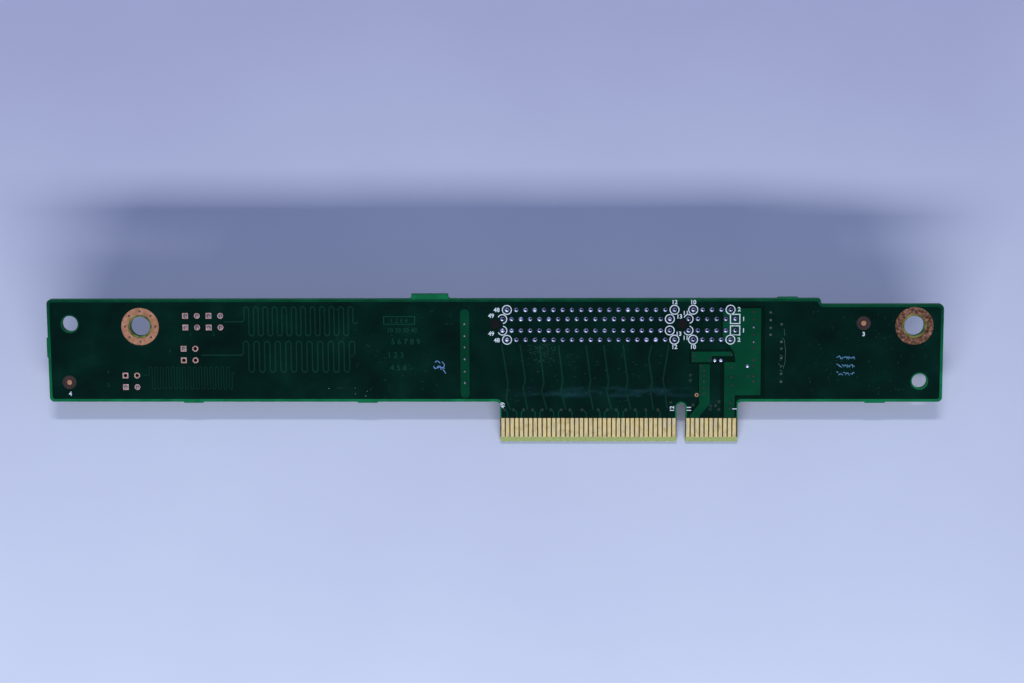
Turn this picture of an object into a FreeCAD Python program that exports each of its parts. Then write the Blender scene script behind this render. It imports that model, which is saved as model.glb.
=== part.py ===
# Riser card: a long printed circuit board with an edge tongue below and one card slot behind it.
#
# The pieces are drawn in the board's own frame: X runs along the board from the tongue's key
# notch, Y runs up the board from the slot's centre line, and Z runs from the component face
# (Z = 0) through the board to the solder face. The slot hangs below Z = 0.
# The finished card lies solder side up on the slot's lip and the tongue's tip, so all pieces
# share one rest placement that tips the board frame and lifts it onto the table plane.
import FreeCAD, Part
import math
import os
import Sketcher
from FreeCAD import Placement, Rotation, Vector

os.makedirs("parts", exist_ok=True)
doc = FreeCAD.newDocument("riser_card")

sizes = {
    # board outline, from the notch and the slot's centre line
    "board_left": 137.15,
    "board_right": 56.05,
    "board_top": 5.62,
    "board_bottom": 16.85,
    "board_thick": 1.57,
    "corner_round": 1.0,
    "step_from": 29.8,
    "step_drop": 1.25,
    "step_round": 0.55,
    # edge tongue
    "tongue_left": 39.1,
    "tongue_right": 12.2,
    "tongue_tip": 25.65,
    "tongue_round": 0.8,
    "notch_width": 1.9,
    "notch_top": 17.1,
    "bevel_length": 1.05,
    "bevel_depth": 0.38,
    # what is left of the panel's break-off tabs
    "tab_left": 58.1,
    "tab_width": 7.95,
    "tab_height": 1.05,
    "tab_round": 0.6,
    "nub_width": 4.6,
    "nub_height": 0.25,
    "nub_first": 105.7,
    "nub_second": 67.8,
    "nub_third": 41.6,
    "nub_above": 22.8,
    "nub_side": 4.9,
    # holes in the board
    "screw_hole": 4.3,
    "screw_left": 116.93,
    "screw_right": 49.8,
    "screw_line": 0.3,
    "tool_hole_left": 3.5,
    "tool_left": 132.25,
    "tool_rise": 0.27,
    "tool_hole_right": 3.2,
    "tool_right": 51.13,
    "tool_drop": 12.32,
    "pin_hole": 0.76,
    # test pads on a tenth-inch grid, each group placed by its upper left pad
    "probe_hole": 0.8,
    "probe_grid": 2.54,
    "probe_one_left": 107.08,
    "probe_one_rise": 2.03,
    "probe_two_left": 107.6,
    "probe_two_rise": -5.17,
    "probe_three_left": 120.43,
    "probe_three_rise": -11.06,
    # pin field
    "contact_pitch": 1.0,
    "key_gap": 3.0,
    "count_short": 11,
    "count_long": 38,
    "row_inner": 1.25,
    "row_outer": 3.25,
    # slot housing
    "slot_height": 11.25,
    "slot_wide": 7.5,
    "slot_end": 3.0,
    "slot_gap": 1.75,
    "slot_deep": 7.9,
    "slot_reach": 0.75,
    "key_wide": 1.65,
    "lead_in": 0.4,
    "cell_wide": 0.62,
    "cell_reach": 2.35,
    "standoff": 0.3,
    "foot_wide": 1.7,
    "channel_deep": 1.0,
    "corner_mark": 0.9,
    "end_core_wide": 3.0,
    "end_core_deep": 6.0,
    "end_core_in": 0.9,
    "peg_size": 2.25,
    "peg_clear": 0.1,
    "peg_end": 1.65,
    "peg_key": 0.2,
    "peg_short": 0.25,
    # formed contacts
    "contact_wide": 0.46,
    "contact_thick": 0.2,
    "contact_gap": 1.0,
    "contact_back": 2.0,
    "tip_below": 0.9,
    "tip_flare": 0.6,
    "touch_below": 2.6,
    "bend_below": 6.9,
    # copper, gold and solder on the faces
    "finger_wide": 0.71,
    "finger_top": 20.45,
    "finger_thick": 0.05,
    "copper_thick": 0.05,
    "ring_out": 8.15,
    "ring_in": 5.2,
    "probe_pad": 1.25,
    "solder_base": 1.12,
    "solder_high": 0.6,
    "fiducial": 1.05,
    "fiducial_left": 132.73,
    "fiducial_drop": 12.56,
    "fiducial_right": 38.98,
    "fiducial_rise": 0.29,
    "ground_strip_left": 47.6,
    "ground_strip_wide": 1.92,
    "ground_strip_top": 3.44,
    "ground_strip_bottom": 16.0,
    # copper areas that feed the slot's short block
    "power_left": 8.9,
    "power_right": 17.06,
    "power_top": 3.56,
    "power_bottom": 15.41,
    "feed_left": 9.28,
    "feed_right": 11.55,
    "feed_end": 20.38,
    "copper_gap": 0.44,
    "power_shoulder": 0.48,
    "power_slant": 0.65,
    "key_area_left": 2.21,
    "key_area_top": 5.87,
    "bar_long": 8.6,
    "bar_high": 2.3,
    "bar_neck_from": 4.35,
    "bar_neck_high": 0.95,
    "band_left": 3.86,
    "band_wide": 2.3,
    "band_slant_top": 17.37,
    "band_slant_bottom": 19.87,
    "band_shift": 1.95,
    "band_end_wide": 2.2,
    "relief": 0.06,
    # parts on the component face
    "bulk_long": 3.5,
    "bulk_wide": 2.8,
    "bulk_high": 1.9,
    "bulk_lead": 0.15,
    "bulk_lead_wide": 2.24,
    "bulk_lead_high": 1.14,
    "bulk_foot": 0.8,
    "bulk_count": 3,
    "bulk_across": 18.5,
    "bulk_first": 4.45,
    "bulk_pitch": 3.55,
    "chip_long": 2.0,
    "chip_wide": 1.25,
    "chip_high": 0.85,
    "chip_end": 0.35,
    "chip_count": 4,
    "chip_across": 17.3,
    "chip_first": 2.7,
    "chip_pitch": 1.62,
    "strap_long": 1.6,
    "strap_wide": 0.8,
    "strap_high": 0.45,
    "strap_end": 0.3,
    "strap_count": 3,
    "strap_first": 7.2,
    "strap_pitch": 1.7,
    "strap_drop": 13.4,
    "bead": 0.35,
    "bead_high": 0.45,
}

sheet = doc.addObject("Spreadsheet::Sheet", "dim")
for row, (alias, value) in enumerate(sizes.items(), start=1):
    sheet.set(f"A{row}", alias)
    sheet.set(f"B{row}", str(value))
    sheet.setAlias(f"B{row}", alias)
doc.recompute()


def size(alias):
    return float(sheet.get(alias))


# the resting pose:

boardThick = size("board_thick")
boardLeft = size("board_left") + size("nub_height")
boardRight = size("board_right")
slotLip = size("slot_wide") / 2
slotHeight = size("slot_height")
tongueTip = size("tongue_tip")
bevelDepth = size("bevel_depth")

# the table touches the slot's near lip and the lower corner of the tongue's tip
tilt = math.atan((slotHeight + bevelDepth) / (tongueTip - slotLip))


def tipped(y, z):
    return (y * math.cos(tilt) - z * math.sin(tilt), y * math.sin(tilt) + z * math.cos(tilt))


nearEdge = tipped(-tongueTip, boardThick - bevelDepth)[0]
farEdge = max(tipped(slotLip, -slotHeight)[0], tipped(size("board_top") + size("tab_height"), 0)[0])
tableLevel = tipped(-tongueTip, bevelDepth)[1]
restPlace = Placement(
    Vector((boardLeft - boardRight) / 2, -(nearEdge + farEdge) / 2, -tableLevel),
    Rotation(Vector(1, 0, 0), math.degrees(tilt)),
)

# helpers:


def newBody(label):
    body = doc.addObject("PartDesign::Body", label)
    body.Label = label
    body.Placement = restPlace
    return body


def originFeature(body, role):
    return next(f for f in body.Origin.OriginFeatures if f.Role == role)


def newSketch(body, name, plane="XY_Plane", offset=None):
    # a sketch on one of the body's own origin planes, moved along its normal by an expression
    sketch = body.newObject("Sketcher::SketchObject", name)
    sketch.AttachmentSupport = [(originFeature(body, plane), "")]
    sketch.MapMode = "FlatFace"
    if offset:
        sketch.setExpression("AttachmentOffset.Base.z", offset)
    return sketch


def tie(sketch, places):
    # hold points of the sketch, each given as geometry, point, X and Y, at their expressions
    bound = [(place, kind) for place in places for kind in ("DistanceX", "DistanceY")]
    indices = sketch.addConstraint(
        [Sketcher.Constraint(kind, -1, 1, place[0], place[1], 1.0) for place, kind in bound]
    )
    for index, (place, kind) in zip(indices, bound):
        sketch.setExpression(f"Constraints[{index}]", place[2] if kind == "DistanceX" else place[3])


def outline(sketch, corners):
    # a closed outline of straight lines through the given pairs of expressions
    first = sketch.GeometryCount
    count = len(corners)
    turn = 2 * math.pi / count
    ring = [Vector(math.cos(turn * i), math.sin(turn * i), 0) for i in range(count)]
    sketch.addGeometry([Part.LineSegment(ring[i - 1], ring[i]) for i in range(count)])
    sketch.addConstraint(
        [
            Sketcher.Constraint("Coincident", first + i, 2, first + (i + 1) % count, 1)
            for i in range(count)
        ]
    )
    tie(sketch, [(first + i, 1, x, y) for i, (x, y) in enumerate(corners)])


def rectangle(sketch, left, right, low, high):
    outline(sketch, [(left, low), (right, low), (right, high), (left, high)])


def circle(sketch, x, y, diameter):
    disc = sketch.addGeometry(Part.Circle(Vector(0, 0, 0), Vector(0, 0, 1), 1.0))
    tie(sketch, [(disc, 3, x, y)])
    index = sketch.addConstraint(Sketcher.Constraint("Diameter", disc, 2.0))
    sketch.setExpression(f"Constraints[{index}]", diameter)


def flatSided(sketch, x, y, across, sides):
    # a regular outline with the given size across its flats
    corners = []
    for i in range(sides):
        angle = math.pi * (2 * i + 1) / sides
        reach = 0.5 / math.cos(math.pi / sides)
        corners.append(
            (
                f"{x} + {reach * math.cos(angle):.6f} * {across}",
                f"{y} + {reach * math.sin(angle):.6f} * {across}",
            )
        )
    outline(sketch, corners)


def settle(*features):
    for feature in features:
        feature.recompute()
        feature.purgeTouched()


def pad(body, sketch, name, length, reverse=False):
    feature = body.newObject("PartDesign::Pad", name)
    feature.Profile = sketch
    feature.Reversed = reverse
    feature.Refine = False
    feature.setExpression("Length", length)
    settle(sketch, feature)
    return feature


def pocket(body, sketch, name, length=None, reverse=False, bothSides=False, refine=False):
    # cuts along the sketch's normal backwards, or forwards when reversed; no length cuts through
    before = body.Tip.Shape.Volume
    feature = body.newObject("PartDesign::Pocket", name)
    feature.Profile = sketch
    feature.Reversed = reverse
    feature.Refine = refine
    if bothSides:
        feature.SideType = "Symmetric"
    if length:
        feature.setExpression("Length", length)
    else:
        feature.Type = "ThroughAll"
    settle(sketch, feature)
    if feature.Shape.Volume > before - 1e-6:
        raise RuntimeError(f"{name} cuts nothing")
    return feature


def repeat(body, features, name, count, spacing, reverse=False):
    pattern = body.newObject("PartDesign::LinearPattern", name)
    pattern.Originals = features
    pattern.Direction = (originFeature(body, "X_Axis"), [""])
    pattern.Mode = "Spacing"
    pattern.Reversed = reverse
    pattern.Refine = False
    pattern.setExpression("Offset", spacing)
    pattern.setExpression("Occurrences", count)
    body.Tip = pattern
    settle(pattern)
    return pattern


def uprightEdges(shape, spots):
    # the names of the edges that stand on the given spots
    names = []
    for number, edge in enumerate(shape.Edges, start=1):
        foot = edge.Vertexes[0].Point
        head = edge.Vertexes[-1].Point
        if math.hypot(foot.x - head.x, foot.y - head.y) > 1e-6:
            continue
        if any(math.hypot(foot.x - x, foot.y - y) < 1e-4 for x, y in spots):
            names.append(f"Edge{number}")
    if len(names) != len(spots):
        raise RuntimeError(f"{len(names)} edges found for {len(spots)} spots")
    return names


def roundEdges(body, base, name, spots, radius):
    feature = body.newObject("PartDesign::Fillet", name)
    feature.Base = (base, uprightEdges(base.Shape, spots))
    feature.setExpression("Radius", radius)
    settle(feature)
    return feature


# Contacts stand one pitch apart in two blocks, short and long, on either side of the key gap.
# Odd places use the inner rows and even places the outer rows, so each row has twice the pitch.
rowPitch = "2 * dim.contact_pitch"
firstShort = "dim.key_gap / 2"
firstLong = "-dim.key_gap / 2"
rowBlocks = {
    "inner": [
        ("short", firstShort, "ceil(dim.count_short / 2)", False),
        ("long", f"{firstLong} - dim.contact_pitch", "floor(dim.count_long / 2)", True),
    ],
    "outer": [
        ("short", f"{firstShort} + dim.contact_pitch", "floor(dim.count_short / 2)", False),
        ("long", firstLong, "ceil(dim.count_long / 2)", True),
    ],
}
allBlocks = [
    ("short", firstShort, "dim.count_short", False),
    ("long", firstLong, "dim.count_long", True),
]
slotRight = "(dim.key_gap / 2 + (dim.count_short - 1) * dim.contact_pitch + dim.slot_end)"
slotLeft = "(-dim.key_gap / 2 - (dim.count_long - 1) * dim.contact_pitch - dim.slot_end)"
pegLeft = f"{slotLeft} + dim.slot_end - dim.peg_end"
pegHole = "dim.peg_size + 2 * dim.peg_clear"

# test pads: group, columns, rows and the places that are open holes
probeGroups = [
    ("one", 4, 2, []),
    ("two", 2, 2, [(1, 0), (0, 1), (1, 1)]),
    ("three", 2, 2, [(0, 0), (1, 0)]),
]


def probePlaces(wantOpen):
    # X, Y and whether the pad is square; every other column is round
    for group, columns, rows, openPlaces in probeGroups:
        for column in range(columns):
            for row in range(rows):
                if ((column, row) in openPlaces) == wantOpen:
                    x = f"-dim.probe_{group}_left + {column} * dim.probe_grid"
                    y = f"dim.probe_{group}_rise - {row} * dim.probe_grid"
                    yield x, y, column % 2 == 0


# circuit board:


def makeBoard():
    body = newBody("circuit_board")
    left, right = "-dim.board_left", "dim.board_right"
    top, bottom = "dim.board_top", "-dim.board_bottom"
    tip = "-dim.tongue_tip"

    def stub(x, edge, out):
        # a broken-off stub on a level edge; the outline runs rightwards below, leftwards above
        back, on = ("-", "+") if out == "-" else ("+", "-")
        half, rise = "dim.nub_width / 2", "dim.nub_height"
        return [
            (f"{x} {back} {half}", edge),
            (f"{x} {back} {half} {on} {rise}", f"{edge} {out} {rise}"),
            (f"{x} {on} {half} {back} {rise}", f"{edge} {out} {rise}"),
            (f"{x} {on} {half}", edge),
        ]

    tabRight = "-dim.tab_left + dim.tab_width"
    tabTop = f"{top} + dim.tab_height"
    stepTop = f"{top} - dim.step_drop"
    sideTop = "-dim.nub_side + dim.nub_width / 2"
    sideBottom = "-dim.nub_side - dim.nub_width / 2"
    sideOut = f"{left} - dim.nub_height"
    corners = [(left, bottom)]
    corners += stub("-dim.nub_first", bottom, "-")
    corners += stub("-dim.nub_second", bottom, "-")
    corners += [("-dim.tongue_left", bottom), ("-dim.tongue_left", tip)]
    corners += [("dim.tongue_right", tip), ("dim.tongue_right", bottom)]
    corners += stub("dim.nub_third", bottom, "-")
    corners += [(right, bottom), (right, stepTop), ("dim.step_from", stepTop), ("dim.step_from", top)]
    corners += stub("dim.nub_above", top, "+")
    corners += [(tabRight, top), (tabRight, tabTop), ("-dim.tab_left", tabTop), ("-dim.tab_left", top)]
    corners += [(left, top), (left, sideTop), (sideOut, f"{sideTop} - dim.nub_height")]
    corners += [(sideOut, f"{sideBottom} + dim.nub_height"), (left, sideBottom)]
    sketch = newSketch(body, "BoardOutline")
    outline(sketch, corners)
    plate = pad(body, sketch, "BoardPlate", "dim.board_thick")

    boardTop, boardBottom = size("board_top"), size("board_bottom")
    tabEnds = [-size("tab_left"), -size("tab_left") + size("tab_width")]
    step = size("step_from"), boardTop - size("step_drop")
    outer = [
        (-size("board_left"), boardTop),
        (-size("board_left"), -boardBottom),
        (boardRight, -boardBottom),
        (boardRight, step[1]),
    ]
    plate = roundEdges(body, plate, "CornerRounds", outer, "dim.corner_round")
    inner = [(-size("tongue_left"), -boardBottom), (size("tongue_right"), -boardBottom)]
    plate = roundEdges(body, plate, "TongueRounds", inner, "dim.tongue_round")
    plate = roundEdges(
        body, plate, "StepRounds", [step, (step[0], boardTop)], "dim.step_round"
    )
    plate = roundEdges(body, plate, "TabRounds", [(x, boardTop) for x in tabEnds], "dim.tab_round")

    # both faces are bevelled at the tongue's tip, so that it finds its way into a slot
    sketch = newSketch(body, "TipBevels", "YZ_Plane")
    for face, inward in (("0", "dim.bevel_depth"), ("dim.board_thick", "-dim.bevel_depth")):
        start = f"{tip} + dim.bevel_length"
        outline(sketch, [(start, face), (tip, f"{face} + {inward}"), (tip, face)])
    pocket(body, sketch, "TipBevel", bothSides=True)

    # key notch with a round end
    sketch = newSketch(body, "NotchOutline", offset="dim.board_thick")
    half = "dim.notch_width / 2"
    rectangle(sketch, f"-{half}", half, f"{tip} - dim.notch_width", f"-dim.notch_top - {half}")
    pocket(body, sketch, "Notch")
    sketch = newSketch(body, "NotchEnd", offset="dim.board_thick")
    circle(sketch, "0", f"-dim.notch_top - {half}", "dim.notch_width")
    pocket(body, sketch, "NotchRound")

    sketch = newSketch(body, "ScrewAndToolHoles", offset="dim.board_thick")
    circle(sketch, "-dim.screw_left", "-dim.screw_line", "dim.screw_hole")
    circle(sketch, "dim.screw_right", "-dim.screw_line", "dim.screw_hole")
    circle(sketch, "-dim.tool_left", "dim.tool_rise", "dim.tool_hole_left")
    circle(sketch, "dim.tool_right", "-dim.tool_drop", "dim.tool_hole_right")
    circle(sketch, "dim.peg_key", "0", pegHole)
    circle(sketch, pegLeft, "0", pegHole)
    pocket(body, sketch, "ScrewToolPegHoles")

    sketch = newSketch(body, "ProbeHoleOutlines", offset="dim.board_thick")
    for x, y, _ in probePlaces(True):
        flatSided(sketch, x, y, "dim.probe_hole", 8)
    pocket(body, sketch, "ProbeHoles")

    # pin holes, drawn with four flats because the slot and its solder cover them
    for rows, blocks in rowBlocks.items():
        for block, first, count, leftward in blocks:
            name = f"PinHoles_{rows}_{block}"
            sketch = newSketch(body, f"{name}_outline", offset="dim.board_thick")
            for side in ("", "-"):
                flatSided(sketch, first, f"{side}dim.row_{rows}", "dim.pin_hole", 4)
            holes = pocket(body, sketch, name)
            repeat(body, [holes], f"{name}_row", count, rowPitch, leftward)
    return body


# slot housing:


def makeHousing():
    body = newBody("slot_housing")
    mouth = "-dim.slot_height"
    half = "dim.slot_wide / 2"
    sketch = newSketch(body, "HousingOutline", offset=mouth)
    mark = "dim.corner_mark"
    outline(
        sketch,
        [
            (slotLeft, f"-{half}"),
            (slotRight, f"-{half}"),
            (slotRight, f"{half} - {mark}"),
            (f"{slotRight} - {mark}", half),
            (slotLeft, half),
        ],
    )
    pad(body, sketch, "HousingBlock", "dim.slot_height - dim.standoff")

    # three feet hold the block off the board so that flux can be washed out
    sketch = newSketch(body, "FeetOutline")
    foot = "dim.foot_wide"
    rectangle(sketch, slotLeft, f"{slotLeft} + {foot}", f"-{half}", half)
    rectangle(sketch, f"{slotRight} - {foot}", f"{slotRight} - {mark}", f"-{half}", half)
    rectangle(sketch, f"-{foot} / 2", f"{foot} / 2", f"-{half}", half)
    pad(body, sketch, "Feet", "dim.standoff", reverse=True)

    # locating pegs reach into the board and stop just under its solder face
    sketch = newSketch(body, "PegOutline", offset="-dim.standoff")
    circle(sketch, "dim.peg_key", "0", "dim.peg_size")
    circle(sketch, pegLeft, "0", "dim.peg_size")
    pad(body, sketch, "Pegs", "dim.standoff + dim.board_thick - dim.peg_short")

    # two card slots, one on each side of the key
    halfGap = "dim.slot_gap / 2"
    shortEnd = f"{slotRight} - dim.slot_end + dim.slot_reach"
    longEnd = f"{slotLeft} + dim.slot_end - dim.slot_reach"
    sketch = newSketch(body, "SlotOutline", offset=mouth)
    rectangle(sketch, "dim.key_wide / 2", shortEnd, f"-{halfGap}", halfGap)
    rectangle(sketch, longEnd, "-dim.key_wide / 2", f"-{halfGap}", halfGap)
    slots = pocket(body, sketch, "CardSlots", "dim.slot_deep", reverse=True)

    # lead-in along the mouths of both slots
    rim = []
    for number, edge in enumerate(slots.Shape.Edges, start=1):
        box = edge.BoundBox
        level = abs(box.ZMax + slotHeight) < 1e-6 and box.ZLength < 1e-6
        if level and box.YMax < size("slot_gap") / 2 + 1e-6 and box.YMin > -size("slot_gap") / 2 - 1e-6:
            rim.append(f"Edge{number}")
    chamfer = body.newObject("PartDesign::Chamfer", "LeadIn")
    chamfer.Base = (slots, rim)
    chamfer.setExpression("Size", "dim.lead_in")
    settle(chamfer)

    # cored pockets in both ends keep the moulding's walls even
    sketch = newSketch(body, "EndCoreOutline", offset=mouth)
    wide = "dim.end_core_wide / 2"
    rectangle(sketch, slotLeft, f"{slotLeft} + dim.end_core_in", f"-{wide}", wide)
    rectangle(sketch, f"{slotRight} - dim.end_core_in", slotRight, f"-{wide}", wide)
    pocket(body, sketch, "EndCores", "dim.end_core_deep", reverse=True)

    # one cell for each contact, open to the slot and through the floor
    for block, first, count, leftward in allBlocks:
        name = f"Cells_{block}"
        sketch = newSketch(body, f"{name}_outline", offset=mouth)
        cell = "dim.cell_wide / 2"
        for low, high in ((halfGap, "dim.cell_reach"), ("-dim.cell_reach", f"-{halfGap}")):
            rectangle(sketch, f"{first} - {cell}", f"{first} + {cell}", low, high)
        cells = pocket(body, sketch, name, "dim.slot_height - dim.standoff", reverse=True)
        repeat(body, [cells], f"{name}_row", count, "dim.contact_pitch", leftward)

    # outer rows leave their cells sideways, through a channel along each side of the underside
    sketch = newSketch(body, "ChannelOutlines", offset="-dim.standoff")
    end = "dim.row_outer + dim.contact_thick"
    for block, first, count, leftward in rowBlocks["outer"]:
        last = f"{first} {'-' if leftward else '+'} ({count} - 1) * {rowPitch}"
        left, right = (last, first) if leftward else (first, last)
        for low, high in (("dim.cell_reach", end), (f"-({end})", "-dim.cell_reach")):
            rectangle(sketch, f"{left} - {cell}", f"{right} + {cell}", low, high)
    pocket(body, sketch, "Channels", "dim.channel_deep", refine=True)
    return body


# formed contacts:


def strip(points, thick):
    # section of a bent strip: its centre line widened by half the thickness on both sides
    runs = [(b - a).normalize() for a, b in zip(points, points[1:])]
    left, right = [], []
    for i, point in enumerate(points):
        before, after = runs[max(i - 1, 0)], runs[min(i, len(runs) - 1)]
        along = (before + after).normalize()
        across = Vector(0, -along.z, along.y) * (thick / 2 / along.dot(after))
        left.append(point + across)
        right.append(point - across)
    return left + right[::-1]


def rowPlaces(rows):
    # X of every contact in one of the two inner or outer rows
    pitch = size("contact_pitch")
    gap = size("key_gap") / 2
    skip = 0 if rows == "inner" else 1
    short = [gap + i * pitch for i in range(skip, int(size("count_short")), 2)]
    long = [-gap - i * pitch for i in range(1 - skip, int(size("count_long")), 2)]
    return short + long


def makeContacts(label, rows, side):
    thick, wide = size("contact_thick"), size("contact_wide")
    back = size("contact_back")
    touch = size("contact_gap") / 2 + thick / 2
    tail = size("row_" + rows)
    points = [
        (touch + size("tip_flare"), size("tip_below") - slotHeight),
        (touch, size("touch_below") - slotHeight),
        (back, size("bend_below") - slotHeight),
    ]
    level = -size("standoff") - size("channel_deep") / 2
    if rows == "outer":
        points += [(back, level), (tail, level)]
    else:
        points += [(tail, level)]
    # the tail ends level with the solder face, inside its joint
    points += [(tail, boardThick)]
    section = strip([Vector(0, side * y, z) for y, z in points], thick)
    face = Part.Face(Part.makePolygon(section + section[:1]))
    contact = face.extrude(Vector(wide, 0, 0))
    copies = []
    for x in rowPlaces(rows):
        copy = contact.copy()
        copy.translate(Vector(x - wide / 2, 0, 0))
        copies.append(copy)
    group = doc.addObject("Part::Feature", label)
    group.Shape = Part.makeCompound(copies)
    return group


# solder, gold and copper on the faces:


def joint(x, y, base, high, sides=8):
    # a joint drawn up to a point over its tail, with flat sides
    reach = base / 2 / math.cos(math.pi / sides)
    turns = [2 * math.pi * i / sides for i in range(sides)]
    rim = [Vector(x + reach * math.cos(a), y + reach * math.sin(a), boardThick) for a in turns]
    peak = Vector(x, y, boardThick + high)
    faces = [Part.Face(Part.makePolygon(rim + rim[:1]))]
    faces += [Part.Face(Part.makePolygon([rim[i - 1], rim[i], peak, rim[i - 1]])) for i in range(sides)]
    return Part.Solid(Part.Shell(faces))


def makeSolder(label, rows):
    # a joint over every tail of the two rows
    base, high, line = size("solder_base"), size("solder_high"), size("row_" + rows)
    group = doc.addObject("Part::Feature", label)
    group.Shape = Part.makeCompound(
        [joint(x, y, base, high) for x in rowPlaces(rows) for y in (line, -line)]
    )
    return group


def makeFingers(label, offset, reverse):
    # gold edge contacts in line with the slot's contacts, ending where the bevel starts
    body = newBody(label)
    for block, first, count, leftward in allBlocks:
        sketch = newSketch(body, f"Finger_{block}_outline", offset=offset)
        half = "dim.finger_wide / 2"
        low = "-dim.tongue_tip + dim.bevel_length"
        rectangle(sketch, f"{first} - {half}", f"{first} + {half}", low, "-dim.finger_top")
        finger = pad(body, sketch, f"Finger_{block}", "dim.finger_thick", reverse)
        repeat(body, [finger], f"Finger_{block}_row", count, "dim.contact_pitch", leftward)
    return body


def bothFaces(body, name, draw, thick="dim.copper_thick"):
    # the same thin copper on the solder face and on the component face
    above = newSketch(body, f"{name}_solder_face", offset="dim.board_thick")
    draw(above)
    pad(body, above, f"{name}_above", thick)
    below = newSketch(body, f"{name}_component_face")
    draw(below)
    pad(body, below, f"{name}_below", thick, reverse=True)


def makeScrewRings():
    body = newBody("screw_rings")

    def draw(sketch):
        for x in ("-dim.screw_left", "dim.screw_right"):
            circle(sketch, x, "-dim.screw_line", "dim.ring_out")
            circle(sketch, x, "-dim.screw_line", "dim.ring_in")

    bothFaces(body, "Rings", draw)
    return body


def makeProbePads(label, wantOpen):
    body = newBody(label)
    half = "dim.probe_pad / 2"

    def draw(sketch):
        for x, y, square in probePlaces(wantOpen):
            if square:
                rectangle(sketch, f"{x} - {half}", f"{x} + {half}", f"{y} - {half}", f"{y} + {half}")
            else:
                flatSided(sketch, x, y, "dim.probe_pad", 8)
            if wantOpen:
                flatSided(sketch, x, y, "dim.probe_hole", 8)

    bothFaces(body, "Pads", draw)
    return body


def makeFiducials():
    body = newBody("fiducial_dots")

    def draw(sketch):
        flatSided(sketch, "-dim.fiducial_left", "-dim.fiducial_drop", "dim.fiducial", 12)
        flatSided(sketch, "dim.fiducial_right", "dim.fiducial_rise", "dim.fiducial", 12)

    bothFaces(body, "Dots", draw)
    return body


def makeGroundStrip():
    body = newBody("ground_strip")
    left = "-dim.ground_strip_left"
    right = f"{left} + dim.ground_strip_wide"
    sketch = newSketch(body, "StripOutline", offset="dim.board_thick")
    rectangle(sketch, left, right, "-dim.ground_strip_bottom", "dim.ground_strip_top")
    plate = pad(body, sketch, "Strip", "dim.copper_thick")
    sides = [-size("ground_strip_left"), -size("ground_strip_left") + size("ground_strip_wide")]
    ends = [-size("ground_strip_bottom"), size("ground_strip_top")]
    spots = [(x, y) for x in sides for y in ends]
    # a little under half the width, so that a short flat is left between the two rounds of an end
    roundEdges(body, plate, "StripEnds", spots, "dim.ground_strip_wide * 0.49")
    return body


# the bar that both copper areas keep clear of
barRight = "dim.key_area_left + dim.bar_long"
barBottom = "-dim.key_area_top - dim.bar_high"


def makePowerArea():
    # the wide copper area right of the slot, with its tail running down to the edge contacts
    body = newBody("power_area")
    sketch = newSketch(body, "AreaOutline", offset="dim.board_thick")
    shoulder = "-dim.row_outer - dim.power_shoulder"
    outline(
        sketch,
        [
            ("dim.power_left", "dim.power_top"),
            ("dim.power_left", shoulder),
            ("dim.power_left + dim.power_slant", shoulder),
            (f"{barRight} + dim.copper_gap", "-dim.key_area_top"),
            (f"{barRight} + 2 * dim.copper_gap", barBottom),
            ("dim.feed_left", barBottom),
            ("dim.feed_left", "-dim.feed_end"),
            ("dim.feed_right", "-dim.feed_end"),
            ("dim.feed_right", "-dim.power_bottom"),
            ("dim.power_right", "-dim.power_bottom"),
            ("dim.power_right", "dim.power_top"),
        ],
    )
    pad(body, sketch, "Area", "dim.copper_thick")

    # the copper stops around the joints that stand in it
    sketch = newSketch(body, "ReliefOutline", offset="dim.board_thick + dim.copper_thick")
    reliefSize = "(dim.solder_base + 2 * dim.relief)"
    for rows, blocks in rowBlocks.items():
        for i, x in enumerate(x for x in rowPlaces(rows) if x > 0):
            if x > size("power_left") - size("solder_base"):
                place = f"{blocks[0][1]} + {i} * {rowPitch}"
                for side in ("", "-"):
                    flatSided(sketch, place, f"{side}dim.row_{rows}", reliefSize, 8)
    pocket(body, sketch, "Reliefs")
    return body


def makeKeyArea():
    # a short bar under the slot's first contacts and the band that leads from it to the tongue
    body = newBody("key_area")
    left, top = "dim.key_area_left", "-dim.key_area_top"
    neckFrom = f"{left} + dim.bar_neck_from"
    neckBottom = f"{top} - dim.bar_neck_high"
    sketch = newSketch(body, "BarOutline", offset="dim.board_thick")
    corners = [(left, top), (left, barBottom), (neckFrom, barBottom), (neckFrom, neckBottom)]
    outline(sketch, corners + [(barRight, neckBottom), (barRight, top)])
    pad(body, sketch, "Bar", "dim.copper_thick")

    bandTop = f"{barBottom} - dim.copper_gap"
    bandRight = "dim.band_left + dim.band_wide"
    endLeft = "dim.band_left - dim.band_shift"
    endRight = f"{endLeft} + dim.band_end_wide"
    sketch = newSketch(body, "BandOutline", offset="dim.board_thick")
    corners = [("dim.band_left", bandTop), ("dim.band_left", "-dim.band_slant_top")]
    corners += [(endLeft, "-dim.band_slant_bottom"), (endLeft, "-dim.feed_end")]
    corners += [(endRight, "-dim.feed_end"), (endRight, "-dim.band_slant_bottom")]
    corners += [(bandRight, "-dim.band_slant_top"), (bandRight, bandTop)]
    outline(sketch, corners)
    pad(body, sketch, "Band", "dim.copper_thick")
    return body


# parts on the component face:


def boxGroup(label, boxes):
    # separate boxes in one node, each given by its low corner and its three sizes
    links = []
    for number, box in enumerate(boxes, start=1):
        solid = doc.addObject("Part::Box", f"{label}_{number}")
        for target, expression in zip(
            ("Placement.Base.x", "Placement.Base.y", "Placement.Base.z", "Length", "Width", "Height"),
            box,
        ):
            solid.setExpression(target, expression)
        links.append(solid)
    group = doc.addObject("Part::Compound", label)
    group.Links = links
    return group


def chipPlaces():
    for i in range(int(size("chip_count"))):
        yield "dim.chip_across", f"dim.chip_first - {i} * dim.chip_pitch"


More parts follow.
